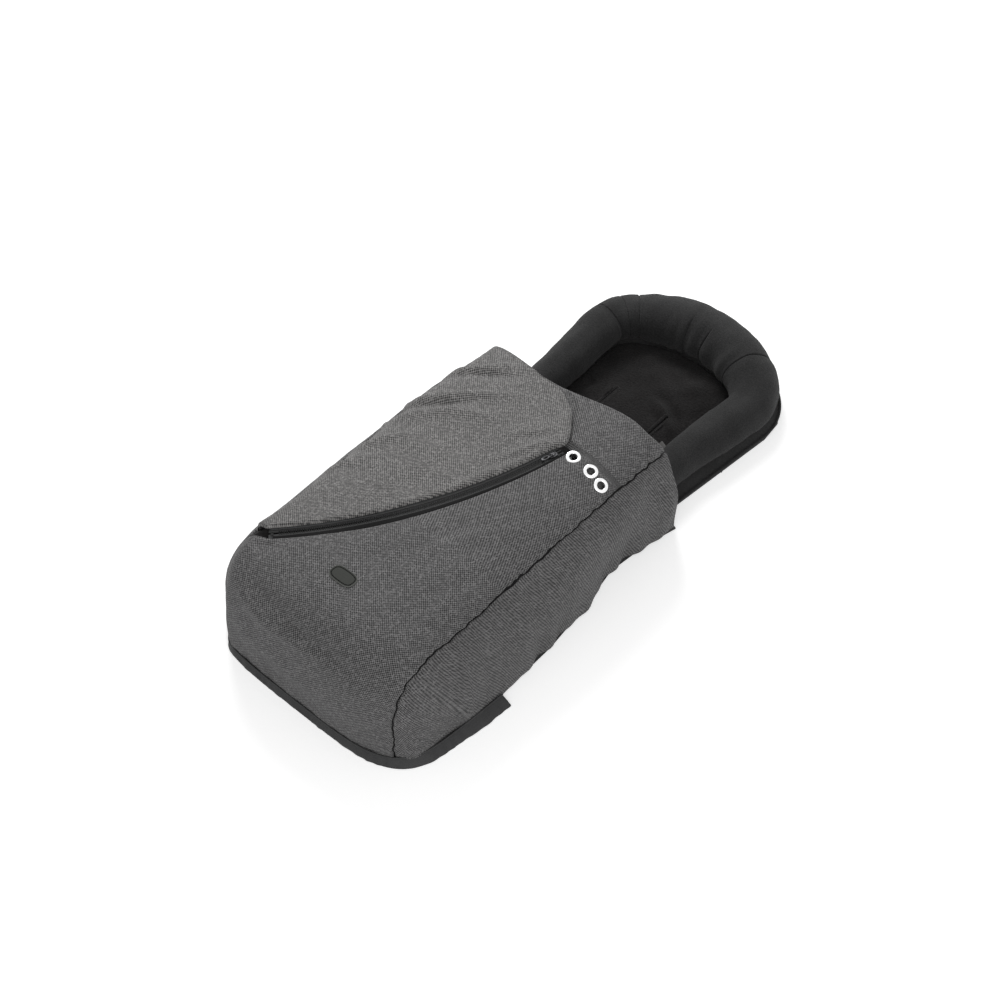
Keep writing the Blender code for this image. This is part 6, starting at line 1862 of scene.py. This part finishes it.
bm = bmesh.new()
add_slab(bm, outer[:, -6, :2], 0.0001, 0.0011, 0.0002)
bmesh.ops.triangulate(bm, faces=bm.faces)
dress(placed_body("pocket_sole", bm, Matrix.Identity(4), nylon, 40), "muff", "grip_sheet")

# %% [markdown]
# A binding edges the pocket, and a corded piping closes the seam under the bolster. Both
# follow a line, so one recipe sweeps a round section along it.

# %% Binding and piping
tree, given, result = new_recipe("round edge", ["Radius"])
line = add_node(tree, "GeometryNodeMeshToCurve", Mesh=given["Geometry"])
circle = add_node(tree, "GeometryNodeCurvePrimitiveCircle", Resolution=10, Radius=given["Radius"])
swept_edge = add_node(tree, "GeometryNodeCurveToMesh", Curve=line.outputs[0],
                      Profile_Curve=circle.outputs[0], Fill_Caps=True)
end_recipe(tree, result, nylon, swept_edge.outputs[0])

line = rim + out * 0.0020
line[:, 2] = 0.0123
dress(cook("pocket_edge", line_carrier(line), tree, {"Radius": 0.0013}, nylon),
      "muff", "webbing", "pocket_binding")

centre, way, half, _, _ = bolster_stations(bolster_places(240))
show = centre[:, 1] > HEAD_Y + 0.030
line = np.concatenate([centre + way * (half + 0.0009)[:, None],
                       np.full((len(centre), 1), RIM + 0.0021)], 1)[show]
dress(cook("bolster_piping", line_carrier(line), tree, {"Radius": 0.0021}, jersey),
      "muff", "bolster_black", "head_piping")

# %% [markdown]
# A filled cover isn't as square as its pattern. In the photograph its long sides have sunk
# in by up to 17 mm where nothing fills them. One smooth movement of the finished cloth does
# the same here. It is zero at the zip, so nothing that runs there is moved. The bolster's
# lower side gets fuller besides, and the base's right edge sinks in under the cloth.
# The fold's lining is given to its two bodies after that, because it is worked out on the
# mesh.

# %% Settling
SUNK_LEFT_Y = (-0.60, -0.44, -0.36, -0.26, -0.19, -0.09, -0.02, 0.03, 0.09)
SUNK_LEFT = (0.013, 0.012, 0.0115, 0.0065, 0.0050, 0.0, 0.0005, 0.0075, 0.0100)
SUNK_RIGHT_Y = (-0.45, -0.30, -0.22, -0.15, -0.074, 0.0, 0.06, 0.10)
SUNK_RIGHT = (0.0, 0.0005, 0.0015, 0.0050, 0.0090, 0.0135, 0.0125, 0.0065)
TOE_SUNK, SHOULDER_SUNK, HEAD_SUNK_X, HEAD_SUNK_Y = 0.011, 0.0070, 0.0065, 0.0050
BOLSTER_FULLER, BASE_SUNK = 0.0065, 0.0045


def settling(p):
    """The long sides, the toe, the right shoulder and the head end, each by its own amount."""
    x, y, z = p[..., 0], p[..., 1], p[..., 2]
    left = ease((-x - 0.132) / 0.052) * ease((0.14 - y) / 0.05)
    low_right = ease((x - 0.10) / 0.08) * (1 - ease(z / 0.105)) * ease((0.16 - y) / 0.05)
    wave = 0.0022 * np.sin(y / 0.0127 + 1.1 * np.sin(y / 0.034)) + 0.0015 * np.sin(y / 0.0071)
    move = np.zeros(p.shape)
    move[..., 0] = left * np.interp(y, SUNK_LEFT_Y, SUNK_LEFT) \
        - low_right * (np.interp(y, SUNK_RIGHT_Y, SUNK_RIGHT)
                       + wave * ease((y + 0.30) / 0.08) * ease(z / 0.004))
    move[..., 1] = left * TOE_SUNK * ease((-y - 0.42) / 0.08)
    move[..., 0] -= SHOULDER_SUNK * hump(z, 0.128, 0.032) * ease((x - 0.168) / 0.02) \
        * ease((y + 0.010) / 0.08) * ease((0.14 - y) / 0.03)
    head = ease((y - 0.10) / 0.08)
    move[..., 0] -= HEAD_SUNK_X * head * ease((x - 0.03) / 0.11)
    move[..., 1] -= HEAD_SUNK_Y * head * ease((y - 0.28) / 0.12)
    return move


SETTLED = ("cover_front", "cover_gusset_right", "cover_gusset_left", "cover_flap", "fold_lining",
           "seam_tape_right", "zip_end_cloth", "fleece_mat", "bolster", "grip_sheet",
           "grip_dots", "pocket", "pocket_sole", "pocket_edge", "bolster_piping",
           *(f"slot_{word}_{number}" for word in ("edge", "stitches") for number in (1, 2, 3)))
for name in SETTLED:
    mesh = bpy.data.objects[name].data
    flat = np.empty(len(mesh.vertices) * 3, dtype=np.float32)
    mesh.vertices.foreach_get("co", flat)
    points = flat.reshape(-1, 3).astype(float)
    points = points + settling(points)
    if name == "bolster":
        x, y = points[:, 0], points[:, 1]
        away = np.stack([x, np.maximum(y - TURN_Y, 0)], -1)
        reach = np.hypot(x, away[:, 1] * SIDE_X / TURN_DEPTH)
        fuller = BOLSTER_FULLER * hump(points[:, 2], 0.020, 0.024) \
            * ease((reach - SIDE_X) / 0.035) * ease((y - 0.09) / 0.05)
        points[:, :2] += unit(away) * fuller[:, None]
    if name.startswith("grip"):
        points[:, 0] -= BASE_SUNK * ease((points[:, 0] - 0.12) / 0.05) \
            * ease((0.10 - points[:, 1]) / 0.03)
    mesh.vertices.foreach_set("co", points.astype(np.float32).ravel())
    mesh.update()
print("settled", len(SETTLED), "pieces")
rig.blend(fold_lining, "muff", "flap", start=(-0.164, -0.135, 0.160), end=(-0.153, -0.135, 0.160))

# %% [markdown]
# A plain pale floor and soft light, as in a studio sweep. The world gives about half of
# the light. A broad lamp at the head end's left draws the folds, and a weak wide one at the
# near side keeps their far sides open. The floor looks white to the camera and to
# reflections, but it still takes the footmuff's shadow.

# %% Stage and light
def seen_directly(tree):
    """1 where the camera sees a surface, also in a mirror or through it, and 0 for its light."""
    rays = add_node(tree, "ShaderNodeLightPath").outputs
    second = sum_of(tree, "MAXIMUM", rays["Is Glossy Ray"], rays["Is Transmission Ray"])
    return sum_of(tree, "MAXIMUM", rays["Is Camera Ray"], second)


corners = [(-6, -6, 0), (6, -6, 0), (6, 6, 0), (-6, 6, 0)]
floor = put_in_scene("floor", listed_mesh("floor", corners, [(0, 1, 2, 3)]))
floor.location.z = -0.0005
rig.stage(floor)
pale, tree, shader = new_finish("pale floor", 0.9, specular=0.0)
shader.inputs["Base Color"].default_value = (0.8, 0.8, 0.8, 1.0)
glow = add_node(tree, "ShaderNodeEmission", Color=(1.0, 1.0, 1.0, 1.0),
                Strength=sum_of(tree, "MULTIPLY", seen_directly(tree), 0.45))
both = add_node(tree, "ShaderNodeAddShader", n0=shader.outputs[0], n1=glow.outputs[0])
tree.links.new(both.outputs[0], tree.nodes["Material Output"].inputs["Surface"])
floor.data.materials.append(pale)

world = bpy.data.worlds.new("studio")
bpy.context.scene.world = world
world.use_nodes = True
tree = world.node_tree
background = tree.nodes["Background"]
background.inputs["Color"].default_value = (1.0, 1.0, 1.0, 1.0)
strength = add_node(tree, "ShaderNodeMapRange", Value=seen_directly(tree), To_Min=0.50,
                    To_Max=1.0)
tree.links.new(strength.outputs[0], background.inputs["Strength"])


LAMP_TARGET = Vector((0, -0.05, 0.1))
for name, place, size, power in (("broad lamp", (-1.55, 1.15, 1.75), 1.3, 47),
                                 ("fill lamp", (1.7, -1.5, 1.6), 2.4, 26)):
    lamp = put_in_scene(name, bpy.data.lights.new(name, "AREA"))
    lamp.data.shape, lamp.data.size, lamp.data.energy = "DISK", size, power
    lamp.location = place
    lamp.rotation_euler = (Vector(place) - LAMP_TARGET).to_track_quat("Z", "Y").to_euler()
print("stage set")

# %% Finish
seen_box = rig.bounds()
with open("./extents.json", "w") as size_file:
    json.dump({"cad": [list(map(float, c)) for c in packed_box],
               "visual": [list(map(float, c)) for c in seen_box]}, size_file)
print("packed", packed_box, "dressed", seen_box)
